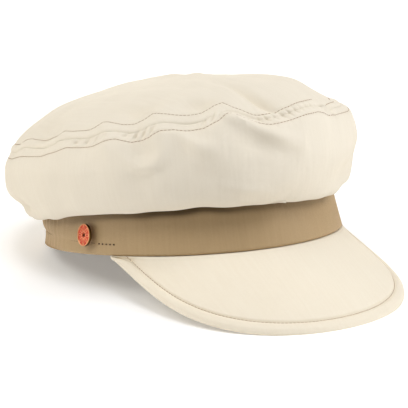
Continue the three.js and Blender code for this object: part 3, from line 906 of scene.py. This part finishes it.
band_angle = angles_across(BAND_COLUMNS)
shares = np.concatenate([[0.012, 0.03], np.linspace(0.06, 0.97, 26), [0.99]])
rim = rim_height(band_angle)
# in_shade on the band is a painted shade: the crown's shadow just under its lip, darkest close under it and
# fading lower down
crown_edge = np.interp(band_angle, crown_angle, lip_height) - SHADE_BELOW_LIP
# the crown lies closest over the band at the wearer's right front, so the shade is deepest there
closeness = LEAST_SHADE + (1 - LEAST_SHADE) * bell(band_angle[0] - CLOSEST_ANGLE, CLOSEST_WIDTH)
outer, inner, outer_shade = [], [], []
for share in shares:
    height = rim + (BAND_HEIGHT - rim) * share
    below_crown = np.maximum(crown_edge - height, 0)[0]
    close_shade = SHADE_CLOSE * bell(below_crown, SHADE_CLOSE_WIDTH)
    far_shade = SHADE_FAR * bell(below_crown, SHADE_FAR_WIDTH)
    outer_shade.append(closeness * (close_shade + far_shade))
    relief = gathers(band_angle, height) + band_unevenness(band_angle, height)
    round_off = 0.9 * bell(share * BAND_HEIGHT, 0.5) + 0.6 * bell((1 - share) * BAND_HEIGHT, 0.6)
    outer.append(pressed(band_point(band_angle, height, round_off - relief)[0]))
    # the inside is plainer than the outside, so its lower half has fewer rows
    if len(inner) == 0 or share > 0.5 or share > len(inner) * 0.12:
        inner.append(pressed(band_point(band_angle, height, BAND_WALL - 0.4 * relief)[0]))
rim_turn = pressed(band_point(band_angle, rim, BAND_WALL / 2)[0])
band_loop = np.array([rim_turn, *outer, *inner[::-1], rim_turn])
lit = np.zeros_like(outer_shade[0])
band_shade = np.array([lit, *outer_shade, *[lit] * len(inner), lit])
band_length = run_length(band_loop)
band_width = np.broadcast_to(band_angle * BAND_FLAT_RADIUS, band_length.shape)
band_flat = np.stack([band_width, band_length], -1)

band = cut_cloth("band_cloth", BAND_COLUMNS, len(band_loop) - 1)
place_cloth(band, band_loop, band_flat, {"in_shade": band_shade})
sew_edges(band)
soften(band, 60)
print("band triangles:", triangles(band))

# %% [markdown]
# ## The peak
#
# A stiff board is covered with cream cloth, and one row of stitches runs just inside its rolled edge. It
# slopes down from the band's rim, steeper at the sides than in front, so it curves like a shoehorn. It
# could be bent from a flat plate, but a loop drawn round the board from root to rim and back, at every
# angle, gives the groove, the roll and the hem behind the band in one closed piece.

# %% How the peak's upper face runs
PEAK_HALF_ANGLE = math.radians(70)
PEAK_REACH = 60.2
PEAK_END_REACH = 1.4
PEAK_TAPER = 1.17
PEAK_FULLNESS = 0.07
PEAK_SAG = 1.6
PEAK_SLOPE_FRONT = 41
PEAK_SLOPE_SIDE = 56
PEAK_SLOPE_DELAY = 2.5
PEAK_WALL = 3
PEAK_HEM = 7
PEAK_HEM_WALL = 1.5
PEAK_GROOVE_INSET = 7.5
PEAK_GROOVE_DEPTH = 0.8
PEAK_GROOVE_WIDTH = 0.9
PEAK_GROOVE_LEAST = 0.35
PEAK_ROLL_RISE = 0.8
PEAK_ROOT_CALM = 3


def peak_frame(side):
    """Root, slope, upright direction and width of the peak, from -1 to 1 round the rim."""
    angle = side * PEAK_HALF_ANGLE
    root = band_point(angle, rim_height(angle))
    sideways, forwards = -np.sin(angle) / BAND_HALF_WIDTH, -np.cos(angle) / BAND_HALF_LENGTH
    outward = np.stack([sideways, forwards, 0 * angle], -1)
    outward /= np.linalg.norm(outward, axis=-1, keepdims=True)
    turn = smooth(np.abs(side)) ** PEAK_SLOPE_DELAY
    slope = np.radians(PEAK_SLOPE_FRONT + (PEAK_SLOPE_SIDE - PEAK_SLOPE_FRONT) * turn)[..., None]
    down = np.array([0.0, 0.0, -1.0])
    along = outward * np.cos(slope) + down * np.sin(slope)
    lifted = outward * np.sin(slope) - down * np.cos(slope)
    taper = np.maximum(np.cos(side * np.pi / 2), 0) ** PEAK_TAPER
    fullness = 1 + PEAK_FULLNESS * np.sin(side * np.pi) ** 2
    width = PEAK_END_REACH + (PEAK_REACH - PEAK_END_REACH) * taper * fullness
    return root, along, lifted, width


def peak_groove(width):
    """Distance of the groove from the root. Where the peak is narrow it keeps a share of its width."""
    return np.maximum(width - PEAK_GROOVE_INSET, width * PEAK_GROOVE_LEAST)


def peak_sag(side, distance, groove):
    """How far the board sags between the rim and the groove, at its sides."""
    return PEAK_SAG * smooth(np.abs(side)) * np.sin(np.pi * np.clip(distance / groove, 0, 1))


def peak_top(side, distance):
    """A point of the peak's upper face, at a distance from its root. The stitching runs at the same
    inset all round, so it goes in under the band at both ends."""
    root, along, lifted, width = peak_frame(side)
    stitching = width - PEAK_GROOVE_INSET
    past = (distance - stitching) / PEAK_GROOVE_INSET
    lift = PEAK_ROLL_RISE * np.sin(np.pi * np.clip(past, 0, 1))
    lift = lift - PEAK_GROOVE_DEPTH * bell(distance - stitching, PEAK_GROOVE_WIDTH)
    lift = lift * smooth(np.clip(distance / PEAK_ROOT_CALM, 0, 1))
    lift = lift - peak_sag(side, distance, peak_groove(width))
    return root + along * distance[..., None] + lifted * lift[..., None]


front = np.zeros(1)
print("front of the peak rests at:", np.round(at_rest(peak_top(front, np.array([PEAK_REACH]))[0]), 4))

# %% Peak: rows of a closed loop round the board, from its root over its edge and back
PEAK_COLUMNS = 360
PEAK_FACE_ROWS = 22
GROOVE_MARGIN = 4
GROOVE_ROWS = (
    -3.2, -2.5, -1.9, -1.4, -1, -0.7, -0.45, -0.2, 0, 0.2, 0.45, 0.7, 1, 1.4, 1.9, 2.5, 3.2, 4, 5, 5.8,
)
EDGE_TURNS = (75, 52, 28, 4, -20, -44, -68, -90)
UNDERSIDE_SHARES = (0.9, 0.8, 0.6, 0.4, 0.2)
PEAK_FLAT_PLACE = (100, 300)
PEAK_FLAT_SLOPE = math.radians(45)

side = np.linspace(-1, 1, PEAK_COLUMNS + 1)
root, along, lifted, width = peak_frame(side)
groove = peak_groove(width)
half_wall = PEAK_WALL / 2
rows = []
roll = (width - groove) / PEAK_GROOVE_INSET
for share in np.linspace(0.02, 1, PEAK_FACE_ROWS):
    rows.append(peak_top(side, (groove - GROOVE_MARGIN * roll) * share))
for offset in GROOVE_ROWS:
    rows.append(peak_top(side, groove + offset * roll))
edge_centre = root + along * (width - half_wall)[:, None] - lifted * half_wall
for turn in np.radians(EDGE_TURNS):
    rows.append(edge_centre + half_wall * (along * math.cos(turn) + lifted * math.sin(turn)))
for share in UNDERSIDE_SHARES:
    distance = (width - half_wall) * share
    below = PEAK_WALL + peak_sag(side, distance, groove)
    rows.append(root + along * distance[:, None] - lifted * below[:, None])
rim = rim_height(side * PEAK_HALF_ANGLE)
peak_angle = side * PEAK_HALF_ANGLE
rows.append(root - along * 0.5 - lifted * PEAK_WALL)
rows.append(band_point(peak_angle, rim - PEAK_HEM_WALL, hem_inset + PEAK_HEM_WALL))
rows.append(band_point(peak_angle, rim + PEAK_HEM, hem_inset + PEAK_HEM_WALL))
rows.append(band_point(peak_angle, rim + PEAK_HEM, hem_inset))
rows.append(band_point(peak_angle, rim - SEAM_CLEARANCE, hem_inset))
rows.append(root - REST_UP * SEAM_CLEARANCE)
peak_loop = pressed(np.array([*rows, rows[0]]))
flat_across = peak_loop[..., 0] + PEAK_FLAT_PLACE[0]
flat_along = peak_loop[..., 1] / math.cos(PEAK_FLAT_SLOPE) + PEAK_FLAT_PLACE[1]
peak_flat = np.stack([flat_across, flat_along], -1)
print("rows round the board:", len(peak_loop))

# %% Peak: the loop becomes cloth over a board, closed at both ends
peak = cut_cloth("peak_cloth", PEAK_COLUMNS, len(peak_loop) - 1)
place_cloth(peak, peak_loop, peak_flat)
sew_edges(peak)
with editing(peak):
    bpy.ops.mesh.select_all(action="DESELECT")
    bpy.ops.mesh.select_non_manifold(extend=False, use_wire=False, use_multi_face=False,
                                     use_non_contiguous=False, use_verts=False)
    bpy.ops.mesh.fill()
    bpy.ops.mesh.select_all(action="SELECT")
    bpy.ops.mesh.normals_make_consistent(inside=False)
soften(peak, 60)
print("peak triangles:", triangles(peak))

# %% [markdown]
# ## Thread
#
# One stitch is a short round grain of thread, a little flat on top and sunk at its ends. It is modelled
# once, and copied along each row, turned to follow the cloth. A dashed line in the finish would be less
# work, but it would cast no shadow and lie flat in the valley that the thread has made.

# %% One stitch, and how a row is sewn
STITCH_PITCH = 2.1
STITCH_LENGTH = 2.0
THREAD = 0.28
THREAD_FLATNESS = 0.8
STITCH_REST = 0.3  # a stitch rests on the cloth this share of its length from its middle


def one_stitch(name, length, thickness):
    nothing_selected()
    bpy.ops.mesh.primitive_uv_sphere_add(segments=8, ring_count=5, radius=0.5)
    stitch = bpy.context.object
    stitch.name = name
    with editing(stitch):
        bpy.ops.transform.resize(value=(thickness * MM, thickness * MM * THREAD_FLATNESS, length * MM))
    return stitch


def sew_row(name, line, out, pitch, length, thickness, lift=0.0, closed=False):
    """Copies one stitch along a line of points in the cap's millimetres."""
    run = run_length(line)
    count = int(run[-1] // pitch)
    pitch = run[-1] / count if closed else pitch
    pattern = one_stitch(name, length, thickness)
    copies = []

    def between(values, at):
        return np.array([np.interp(at, run, values[:, k]) for k in range(3)])

    for i in range(count):
        at = (i + 0.5) * pitch
        start = between(line, at - STITCH_REST * length)
        end = between(line, at + STITCH_REST * length)
        along = Vector(turn_at_rest(end - start)).normalized()
        normal = Vector(turn_at_rest(between(out, at))).normalized()
        sideways = normal.cross(along).normalized()
        normal = along.cross(sideways)
        turn = Matrix((sideways, normal, along)).transposed().to_4x4()
        turn.translation = Vector(at_rest(between(line, at))) + normal * lift * MM
        copy = pattern.copy()
        copy.data = pattern.data.copy()
        copy.data.transform(turn)
        bpy.context.scene.collection.objects.link(copy)
        copies.append(copy)
    bpy.data.objects.remove(pattern)
    row = join_pieces(name, copies)
    soften(row, 80)
    print(name, "has", count, "stitches,", triangles(row), "triangles")
    return row


# %% [markdown]
# ## Two rows round the crown
#
# The seam is topstitched in brown cotton on both its sides. Each row follows a row of corners of the
# cloth's own grid, so it lies in its valley wherever the cloth wanders. It is lifted a tenth of a
# millimetre, so that the small folds don't swallow it.

# %% Rows on both sides of the seam
CROWN_ROW_LIFT = 0.11


def crown_row(name, places, levels, row, offset):
    line = places[np.argmin(np.abs(levels - row)) + offset]
    settled = wandering(crown_angles, np.full_like(crown_angles, row))
    out = looks_out(crown_point, crown_angles, settled)[0]
    return sew_row(name, line, out, STITCH_PITCH, STITCH_LENGTH, THREAD, CROWN_ROW_LIFT, True)


low_row = crown_row("crown_low_stitches", side_places, side_levels, LEVELS["low_stitch"], len(hem))
top_row = crown_row("crown_top_stitches", top_places, top_levels, LEVELS["top_stitch"], 0)

# %% [markdown]
# ## The peak's row, and five tacks on the band
#
# The peak's row holds its cover to the board, in the groove inside the roll. In front of the badge, five
# thicker stitches of dark thread end the stretch that holds the elastic.

# %% One row round the peak
PEAK_ROW_END = 0.922
PEAK_ROW_LIFT = 0.04

row_side = np.linspace(-PEAK_ROW_END, PEAK_ROW_END, 500)
_, _, row_lifted, row_width = peak_frame(row_side)
row_line = peak_top(row_side, row_width - PEAK_GROOVE_INSET)
peak_row = sew_row("peak_stitches", row_line, row_lifted, STITCH_PITCH, STITCH_LENGTH, THREAD, PEAK_ROW_LIFT)

# %% Five tacks
TACKS_FROM, TACKS_TO = 76.0, 67.2
TACK_HEIGHT = 5.8
TACK_PITCH = 2.9
TACK_LENGTH = 1.2
TACK_THREAD = 0.85
BAND_ROW_LIFT = 0.05

tack_angle = np.radians(np.linspace(TACKS_FROM, TACKS_TO, 40))
tack_line = band_point(tack_angle, np.full_like(tack_angle, TACK_HEIGHT), -0.1)
tacks = sew_row(
    "band_tacks", tack_line, off_band(tack_line), TACK_PITCH, TACK_LENGTH, TACK_THREAD, BAND_ROW_LIFT
)

# %% [markdown]
# ## The row that holds the elastic
#
# It runs along the pinched line round the back of the band. The line is taken from the same function that
# pinches the band, so thread and groove can't part.

# %% Elastic's row, round the back of the band
CHANNEL_THREAD = 0.3

channel_angle = signed_turn(np.linspace(CHANNEL_START, 2 * np.pi - CHANNEL_START, 600))
channel_height = np.full_like(channel_angle, CHANNEL_HEIGHT)
channel_relief = gathers(channel_angle, channel_height) + band_unevenness(channel_angle, channel_height)
channel_line = pressed(band_point(channel_angle, channel_height, -channel_relief))
channel_row = sew_row(
    "band_channel_stitches", channel_line, off_band(channel_line), STITCH_PITCH, STITCH_LENGTH,
    CHANNEL_THREAD, BAND_ROW_LIFT,
)

# %% [markdown]
# ## The badge
#
# A small round metal badge sits on the band, pinned through it. Its face is coral enamel poured between
# thin copper walls, and the walls make a plain ring of petals. Round things are spun on a lathe from a
# profile, so disc and enamel are made that way, and one petal is copied round.

# %% Where the badge sits
BADGE_ANGLE = math.radians(80.3)
BADGE_HEIGHT = 10.2
# its post lifts the badge this far, as in the solid model, so that its rear edge stays clear of the band
BADGE_LIFT = 2.06
BADGE_TURN = math.radians(5)
ANGLE_STEP = 0.01

badge_foot = band_point(BADGE_ANGLE, BADGE_HEIGHT)
badge_around = band_point(BADGE_ANGLE + ANGLE_STEP, BADGE_HEIGHT) - band_point(
    BADGE_ANGLE - ANGLE_STEP, BADGE_HEIGHT)
badge_up = band_point(BADGE_ANGLE, BADGE_HEIGHT + 1) - badge_foot
post_direction = np.cross(badge_up, badge_around)
post_direction /= np.linalg.norm(post_direction)
badge_foot = badge_foot + post_direction * BADGE_LIFT
badge_out = np.array(Matrix.Rotation(-BADGE_TURN, 3, "Z") @ Vector(post_direction))
print("the badge's foot rests at:", np.round(at_rest(badge_foot), 4))


# %% A lathe, and the way onto the band
PROFILE_SIDES = 64


def turned_piece(name, profile):
    """Spins a profile of (radius, height) points round the Z axis, one extruded ring after another."""
    nothing_selected()
    bpy.ops.mesh.primitive_circle_add(vertices=PROFILE_SIDES, radius=profile[0][0] * MM,
                                      location=(0, 0, profile[0][1] * MM))
    piece = bpy.context.object
    piece.name = name
    piece.data.name = name
    bpy.ops.object.transform_apply(location=True, rotation=True, scale=True)
    with editing(piece):
        for (radius, height), (wider, higher) in zip(profile, profile[1:]):
            bpy.ops.mesh.extrude_region_move()
            bpy.ops.transform.resize(value=(wider / radius, wider / radius, 1), center_override=(0, 0, 0))
            bpy.ops.transform.translate(value=(0, 0, (higher - height) * MM))
    sew_edges(piece, 0.001)
    return piece


def onto_badge(piece):
    """Moves a piece that was made round the Z axis onto the band."""
    out = Vector(turn_at_rest(badge_out))
    up = Vector(turn_at_rest(badge_up)).normalized()
    sideways = up.cross(out).normalized()
    turn = Matrix((sideways, out.cross(sideways), out)).transposed().to_4x4()
    turn.translation = Vector(at_rest(badge_foot))
    piece.data.transform(turn)
    piece.data.update()


print("the badge faces:", np.round(turn_at_rest(badge_out), 2))

# %% Badge: a disc with a raised rim, and its enamel
BADGE_RADIUS = 6.3
BADGE_THICKNESS = 1.9
BADGE_RIM = 0.6
BADGE_RIM_RISE = 0.5
BADGE_HOLE = 1

face = BADGE_THICKNESS - BADGE_RIM_RISE
inner = BADGE_RADIUS - BADGE_RIM
badge = turned_piece("badge_metal", [
    (0.001, 0), (BADGE_RADIUS - 0.3, 0), (BADGE_RADIUS, 0.3), (BADGE_RADIUS, BADGE_THICKNESS - 0.35),
    (BADGE_RADIUS - 0.12, BADGE_THICKNESS - 0.1), (BADGE_RADIUS - 0.35, BADGE_THICKNESS),
    (inner + 0.15, BADGE_THICKNESS), (inner, BADGE_THICKNESS - 0.12), (inner - 0.1, face - 0.2),
    (BADGE_HOLE + 0.25, face - 0.2), (BADGE_HOLE, face - 0.35), (BADGE_HOLE, face - 1), (0.001, face - 1),
])
enamel = turned_piece("badge_enamel", [
    (BADGE_HOLE + 0.3, face - 0.3), (BADGE_HOLE + 0.35, face + 0.12), (1.2, face + 0.2),
    (3.5, face + 0.22), (inner - 0.5, face + 0.14), (inner - 0.12, face), (inner - 0.1, face - 0.3),
    (BADGE_HOLE + 0.3, face - 0.3),
])
# the disc's outer wall and its hole lie in shade, which their finish paints in as a dark tone
for piece in (badge, enamel):
    in_shade = piece.data.attributes.new("in_shade", "FLOAT", "POINT")
    walls = [
        not (BADGE_HOLE + 0.05) * MM < math.hypot(corner.co.x, corner.co.y) < (BADGE_RADIUS - 0.05) * MM
        and corner.co.z < (BADGE_THICKNESS - 0.3) * MM for corner in piece.data.vertices
    ]
    in_shade.data.foreach_set("value", np.array(walls, np.float32))
    onto_badge(piece)
    soften(piece, 35)
print("disc and enamel triangles:", triangles(badge) + triangles(enamel))

# %% Petals: eight flattened rings of wire
PETALS = 8
PETAL_RADIUS = 1
PETAL_WIRE = 0.22
PETAL_STRETCH = (1.7, 0.72, 1)
PETAL_PLACE = 3.6

copies = []
for i in range(PETALS):
    nothing_selected()
    bpy.ops.mesh.primitive_torus_add(major_segments=20, minor_segments=8, major_radius=PETAL_RADIUS * MM,
                                     minor_radius=PETAL_WIRE * MM)
    petal = bpy.context.object
    with editing(petal):
        bpy.ops.transform.resize(value=PETAL_STRETCH)
    turn = Matrix.Rotation(2 * math.pi * i / PETALS, 4, "Z")
    petal.data.transform(turn @ Matrix.Translation((PETAL_PLACE * MM, 0, (face + 0.2) * MM)))
    onto_badge(petal)
    copies.append(petal)
petals = join_pieces("badge_petals", copies)
soften(petals, 80)
print("petals' triangles:", triangles(petals))


# %% [markdown]
# ## Finishes
#
# A material is a little program of nodes. They could be joined up by hand, but a formula is easier to
# read than a web of boxes. So the small class below lets the maths be written as formulas: each operator
# adds the node that does it.

# %% Node expressions
class Wire:
    """An output of a node, which can be used in a sum."""

    def __init__(self, finish, socket):
        self.finish = finish
        self.socket = socket

    def maths(self, operation, *others):
        return self.finish.node("ShaderNodeMath", {"operation": operation}, dict(enumerate(others)))

    def __add__(self, other):
        return self.maths("ADD", self, other)

    def __radd__(self, other):
        return self.maths("ADD", other, self)

    def __sub__(self, other):
        return self.maths("SUBTRACT", self, other)

    def __rsub__(self, other):
        return self.maths("SUBTRACT", other, self)

    def __mul__(self, other):
        return self.maths("MULTIPLY", self, other)

    def __rmul__(self, other):
        return self.maths("MULTIPLY", other, self)

    def __gt__(self, other):
        return self.maths("GREATER_THAN", self, other)

    def sine(self):
        return self.maths("SINE", self)

    def size(self):
        return self.maths("ABSOLUTE", self)

    def power(self, exponent):
        return self.maths("POWER", self, exponent)


# %% A finish and its nodes
class Finish:
    """A new material, and the one method that makes its nodes."""

    def __init__(self, name):
        self.material = bpy.data.materials.new(name)
        self.material.use_nodes = True
        self.tree = self.material.node_tree
        self.tree.nodes.clear()

    def node(self, kind, settings=None, inputs=None, output=0):
        made = self.tree.nodes.new(kind)
        for key, value in (settings or {}).items():
            setattr(made, key, value)
        for key, value in (inputs or {}).items():
            if isinstance(value, Wire):
                self.tree.links.new(value.socket, made.inputs[key])
            else:
                made.inputs[key].default_value = value
        return Wire(self, made.outputs[output]) if made.outputs else None

    def place(self):
        return self.node("ShaderNodeTexCoord", output="Object")

    def noise(self, place, scale, detail=2.0, rough=0.5):
        return self.node(
            "ShaderNodeTexNoise", {}, {"Vector": place, "Scale": scale, "Detail": detail, "Roughness": rough}
        )

    def blend(self, share, one, other):
        return self.node(
            "ShaderNodeMix", {"data_type": "RGBA"}, {0: share, 6: one, 7: other}, output=2
        )

    def close(self, inputs, height=None, bump=0.5, depth=0.2):
        """Ends the finish with its surface. The bump's depth is in millimetres."""
        if height is not None:
            inputs["Normal"] = self.node(
                "ShaderNodeBump", {}, {"Strength": bump, "Distance": depth * MM, "Height": height}
            )
        surface = self.node("ShaderNodeBsdfPrincipled", {}, inputs)
        self.node("ShaderNodeOutputMaterial", {}, {"Surface": surface})
        return self.material


# %% Colours
def color(red, green, blue):
    """A colour as a screen shows it, from 0 to 255, made linear."""
    def linear(value):
        share = value / 255
        return share / 12.92 if share <= 0.04045 else ((share + 0.055) / 1.055) ** 2.4
    return (linear(red), linear(green), linear(blue), 1.0)


print("cream on a screen, made linear:", np.round(color(241, 233, 217), 3))

# %% [markdown]
# ## Woven cloth
#
# Plain weave is a chequered pattern of threads that pass over and under each other. Two waves along the
# flat cloth give the threads, slubs make some of them thicker, and soft noise gives the cloth the
# uneven tone of washed cotton. Noise has no direction, so it reads the place in space, and only what
# follows the threads reads the flat layout.
#
# Where in_shade is 1, the finish paints shade into the colour: the tone goes down to a dark brown, since
# light that gets in there has bounced from cloth to cloth and lost its blue first.

# %% Cloth finish
SHADE_TONE = (0.2, 0.17, 0.1)


def woven(name, light, dark, thread, weave_depth, sheen, roughness, gloss=0.25):
    """Cotton with threads that many millimetres apart, between a light and a dark tone."""
    cloth = Finish(name)
    flat = cloth.node("ShaderNodeUVMap", {"uv_map": "flat_cloth"})
    u = cloth.node("ShaderNodeSeparateXYZ", {}, {0: flat}, output=0)
    v = cloth.node("ShaderNodeSeparateXYZ", {}, {0: flat}, output=1)
    turns = math.pi / (thread * MM)
    place = cloth.place()
    wander = cloth.noise(place, scale=90, detail=2) * 0.6
    warp = (u * turns + wander).sine()
    weft = (v * turns + wander).sine()
    over = (warp * weft) > 0
    threads = over * warp.size().power(0.6) + (1 - over) * weft.size().power(0.6)
    tone = cloth.noise(place, scale=22, detail=3)
    fine = cloth.noise(place, scale=900, detail=3, rough=0.6)
    crumple = cloth.noise(place, scale=160, detail=3, rough=0.55)
    along = cloth.node("ShaderNodeCombineXYZ", {}, {0: u * 600, 1: v * 35})
    slubs = cloth.noise(along, scale=1, detail=2)
    tone_share = threads * 0.18 + fine * 0.25 + tone * 0.35 + slubs * 0.42 - 0.2
    base = cloth.blend(tone_share, dark, light)
    # painted shade: where in_shade is set, the base colour goes to the dark shade tone
    shade = cloth.node("ShaderNodeAttribute", {"attribute_name": "in_shade"}, output="Fac")
    shaded = (*(part * share for part, share in zip(dark, SHADE_TONE)), 1)
    base = cloth.blend(shade, base, shaded)
    height = threads * weave_depth + crumple * 1.4 + slubs * 0.25 + fine * 0.12
    return cloth.close(
        {
            "Base Color": base,
            "Roughness": roughness,
            "Sheen Weight": sheen,
            "Sheen Roughness": 0.45,
            "Sheen Tint": light,
            "Specular IOR Level": gloss,
        },
        height, bump=0.6, depth=0.35,
    )


crown_finish = woven(
    "crown_cotton", color(241, 233, 217), color(229, 219, 200),
    thread=0.55, weave_depth=0.22, sheen=0.12, roughness=0.88,
)
peak_finish = woven(
    "peak_cotton", color(244, 236, 218), color(234, 222, 200),
    thread=0.55, weave_depth=0.2, sheen=0.12, roughness=0.86,
)
band_finish = woven(
    "band_cotton", color(190, 163, 124), color(167, 140, 100),
    thread=0.45, weave_depth=0.2, sheen=0.9, roughness=0.55, gloss=0.35,
)
print("nodes in the band's finish:", len(band_finish.node_tree.nodes))

# %% [markdown]
# ## Thread, enamel and metal
#
# Thread is matt and changes tone along its twist. Enamel is coloured glass, here a little cloudy and dull
# with age. Copper and brass are metals with worn patches, rougher where they are worn, and where in_shade
# marks a wall the metal gets a dark painted shade. All three read their noise from the place in space, since
# none of them has a grain that follows its shape.

# %% Thread, enamel and metal finishes
THREAD_DARKER = 0.8
# the colour of the painted shade on the walls that in_shade marks
WALL_SHADE_TONE = (96, 72, 34)


def thread_finish(name, tone):
    thread = Finish(name)
    twist = thread.noise(thread.place(), scale=1500, detail=1)
    base = thread.blend(twist, color(*tone), color(*(value * THREAD_DARKER for value in tone)))
    return thread.close({"Base Color": base, "Roughness": 0.75}, twist, bump=0.3, depth=0.1)


def enamel_finish(name, tone, cloudy):
    glass = Finish(name)
    cloud = glass.noise(glass.place(), scale=420, detail=3)
    base = glass.blend(cloud, color(*tone), color(*cloudy))
    return glass.close(
        {"Base Color": base, "Roughness": 0.45, "Specular IOR Level": 0.25}, cloud, bump=0.15, depth=0.1
    )


def metal_finish(name, tone, worn, roughness):
    metal = Finish(name)
    wear = metal.noise(metal.place(), scale=650, detail=4)
    base = metal.blend(wear, color(*tone), color(*worn))
    # painted shade: the walls marked by in_shade take the dark wall shade tone
    wall = metal.node("ShaderNodeAttribute", {"attribute_name": "in_shade"}, output="Fac")
    base = metal.blend(wall, base, color(*WALL_SHADE_TONE))
    rough = wear * 0.25 + (roughness - 0.12)
    return metal.close(
        {"Base Color": base, "Roughness": rough, "Metallic": 0.85}, wear, bump=0.2, depth=0.08
    )


stitch_finish = thread_finish("brown_cotton_thread", (156, 106, 44))
channel_finish = thread_finish("tan_thread", (132, 102, 70))
tack_finish = thread_finish("brown_thread", (62, 38, 24))
copper_finish = metal_finish("copper", (240, 172, 124), (222, 150, 104), roughness=0.4)
post_finish = metal_finish("brass", (176, 141, 87), (150, 118, 70), roughness=0.4)
coral_finish = enamel_finish("coral_enamel", (204, 66, 44), (222, 92, 66))
print("materials, with those of the solid model:", len(bpy.data.materials))

# %% [markdown]
# ## Dressing the frame
#
# Every piece rides on the cap's one body and gets its material. A piece that stands
# for a solid also says which one, so that only one of the two is shown. Rows of thread replace nothing.
# The rivet behind the band is as plain as the real one, so its solid only gets a finish.

# %% Give every piece its finish and its place in the frame
def wear(piece, material, slot, *nodes):
    piece.data.materials.clear()
    piece.data.materials.append(material)
    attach(piece, "root")
    if nodes:
        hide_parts(*nodes)


wear(crown_side, crown_finish, "crown_cloth", "crown_side")
wear(crown_top, crown_finish, "crown_cloth", "crown_top")
wear(band, band_finish, "band_cloth", "band")
wear(peak, peak_finish, "peak_cloth", "peak")
wear(low_row, stitch_finish, "crown_cloth")
wear(top_row, stitch_finish, "crown_cloth")
wear(peak_row, stitch_finish, "peak_cloth")
wear(tacks, tack_finish, "band_cloth")
wear(channel_row, channel_finish, "band_cloth")
wear(badge, copper_finish, "badge_metal", "badge")
wear(enamel, coral_finish, "badge_enamel")
wear(petals, copper_finish, "badge_metal")
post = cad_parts["badge_post"]
post.data.materials.clear()
post.data.materials.append(post_finish)
print("the solid that stays:", post.name)

# %% [markdown]
# ## The floor
#
# The photograph has no background. A white floor that glows a little comes close to that, and still takes
# the soft shadow that shows where the cap rests. It is part of the stage and not of the cap.

# %% Floor
FLOOR_SIZE = 12

nothing_selected()
bpy.ops.mesh.primitive_plane_add(size=FLOOR_SIZE)
floor = bpy.context.object
floor.name = "floor"
floor_finish = Finish("pale_floor")
speck = floor_finish.noise(floor_finish.place(), scale=3, detail=2)
floor_material = floor_finish.close({
    "Base Color": floor_finish.blend(speck, (0.93, 0.93, 0.93, 1), (0.96, 0.96, 0.96, 1)),
    "Roughness": 0.9,
    "Specular IOR Level": 0.1,
    "Emission Color": (1, 1, 1, 1),
    "Emission Strength": 0.2,
})
floor.data.materials.append(floor_material)
print("floor:", FLOOR_SIZE, "m square")

# %% [markdown]
# ## The lights
#
# Big soft lamps all round give the even look of a shop photograph. The one on the side of the peak is
# low, so the creases in front throw small shadows towards the badge. The lamps high in front are a little
# blue, and those beside the badge and behind the cap a little warm, as the photograph's tones are.

# %% Lights
LIGHT_DISTANCE = 1.6
LIGHT_SIZE = 0.7
LIGHT_AIM = Vector((0, 0, 0.06))


def soft_light(name, azimuth, elevation, power, tint=(1, 1, 1)):
    """A square lamp that looks at the cap. Azimuth 0 is in front, 90 is the wearer's left."""
    data = bpy.data.lights.new(name, "AREA")
    data.shape = "SQUARE"
    data.size = LIGHT_SIZE
    data.energy = power
    data.color = tint
    lamp = bpy.data.objects.new(name, data)
    bpy.context.scene.collection.objects.link(lamp)
    a, e = math.radians(azimuth), math.radians(elevation)
    away = Vector((math.sin(a) * math.cos(e), -math.cos(a) * math.cos(e), math.sin(e)))
    lamp.location = LIGHT_AIM + away * LIGHT_DISTANCE
    lamp.rotation_euler = (-away).to_track_quat("-Z", "Y").to_euler()


soft_light("right_low_light", 48, 10, 6.6)
soft_light("right_high_light", 42, 45, 9, (0.98, 1, 1.04))
soft_light("camera_high_light", -35, 70, 10.7, (0.97, 1, 1.07))
soft_light("left_high_light", -110, 45, 8.4, (1, 0.98, 0.93))
soft_light("left_low_light", -122, 8, 4.6, (1, 0.97, 0.91))
soft_light("back_light", 150, 12, 10.5, (1, 0.97, 0.91))
power = sum(lamp.energy for lamp in bpy.data.lights)
print("lamps:", len(bpy.data.lights), "of", round(power, 1), "W in all")

# %% [markdown]
# ## The light that comes from everywhere
#
# A faint warm glow stands for light that a room's walls throw back. The Standard view shows colours as
# they are, which keeps white cloth white.

# %% World
world = bpy.data.worlds.new("studio")
world.use_nodes = True
backdrop = world.node_tree.nodes["Background"]
backdrop.inputs["Color"].default_value = (1, 0.88, 0.7, 1)
backdrop.inputs["Strength"].default_value = 0.11
bpy.context.scene.world = world
bpy.context.scene.view_settings.view_transform = "Standard"
print("view:", bpy.context.scene.view_settings.view_transform)
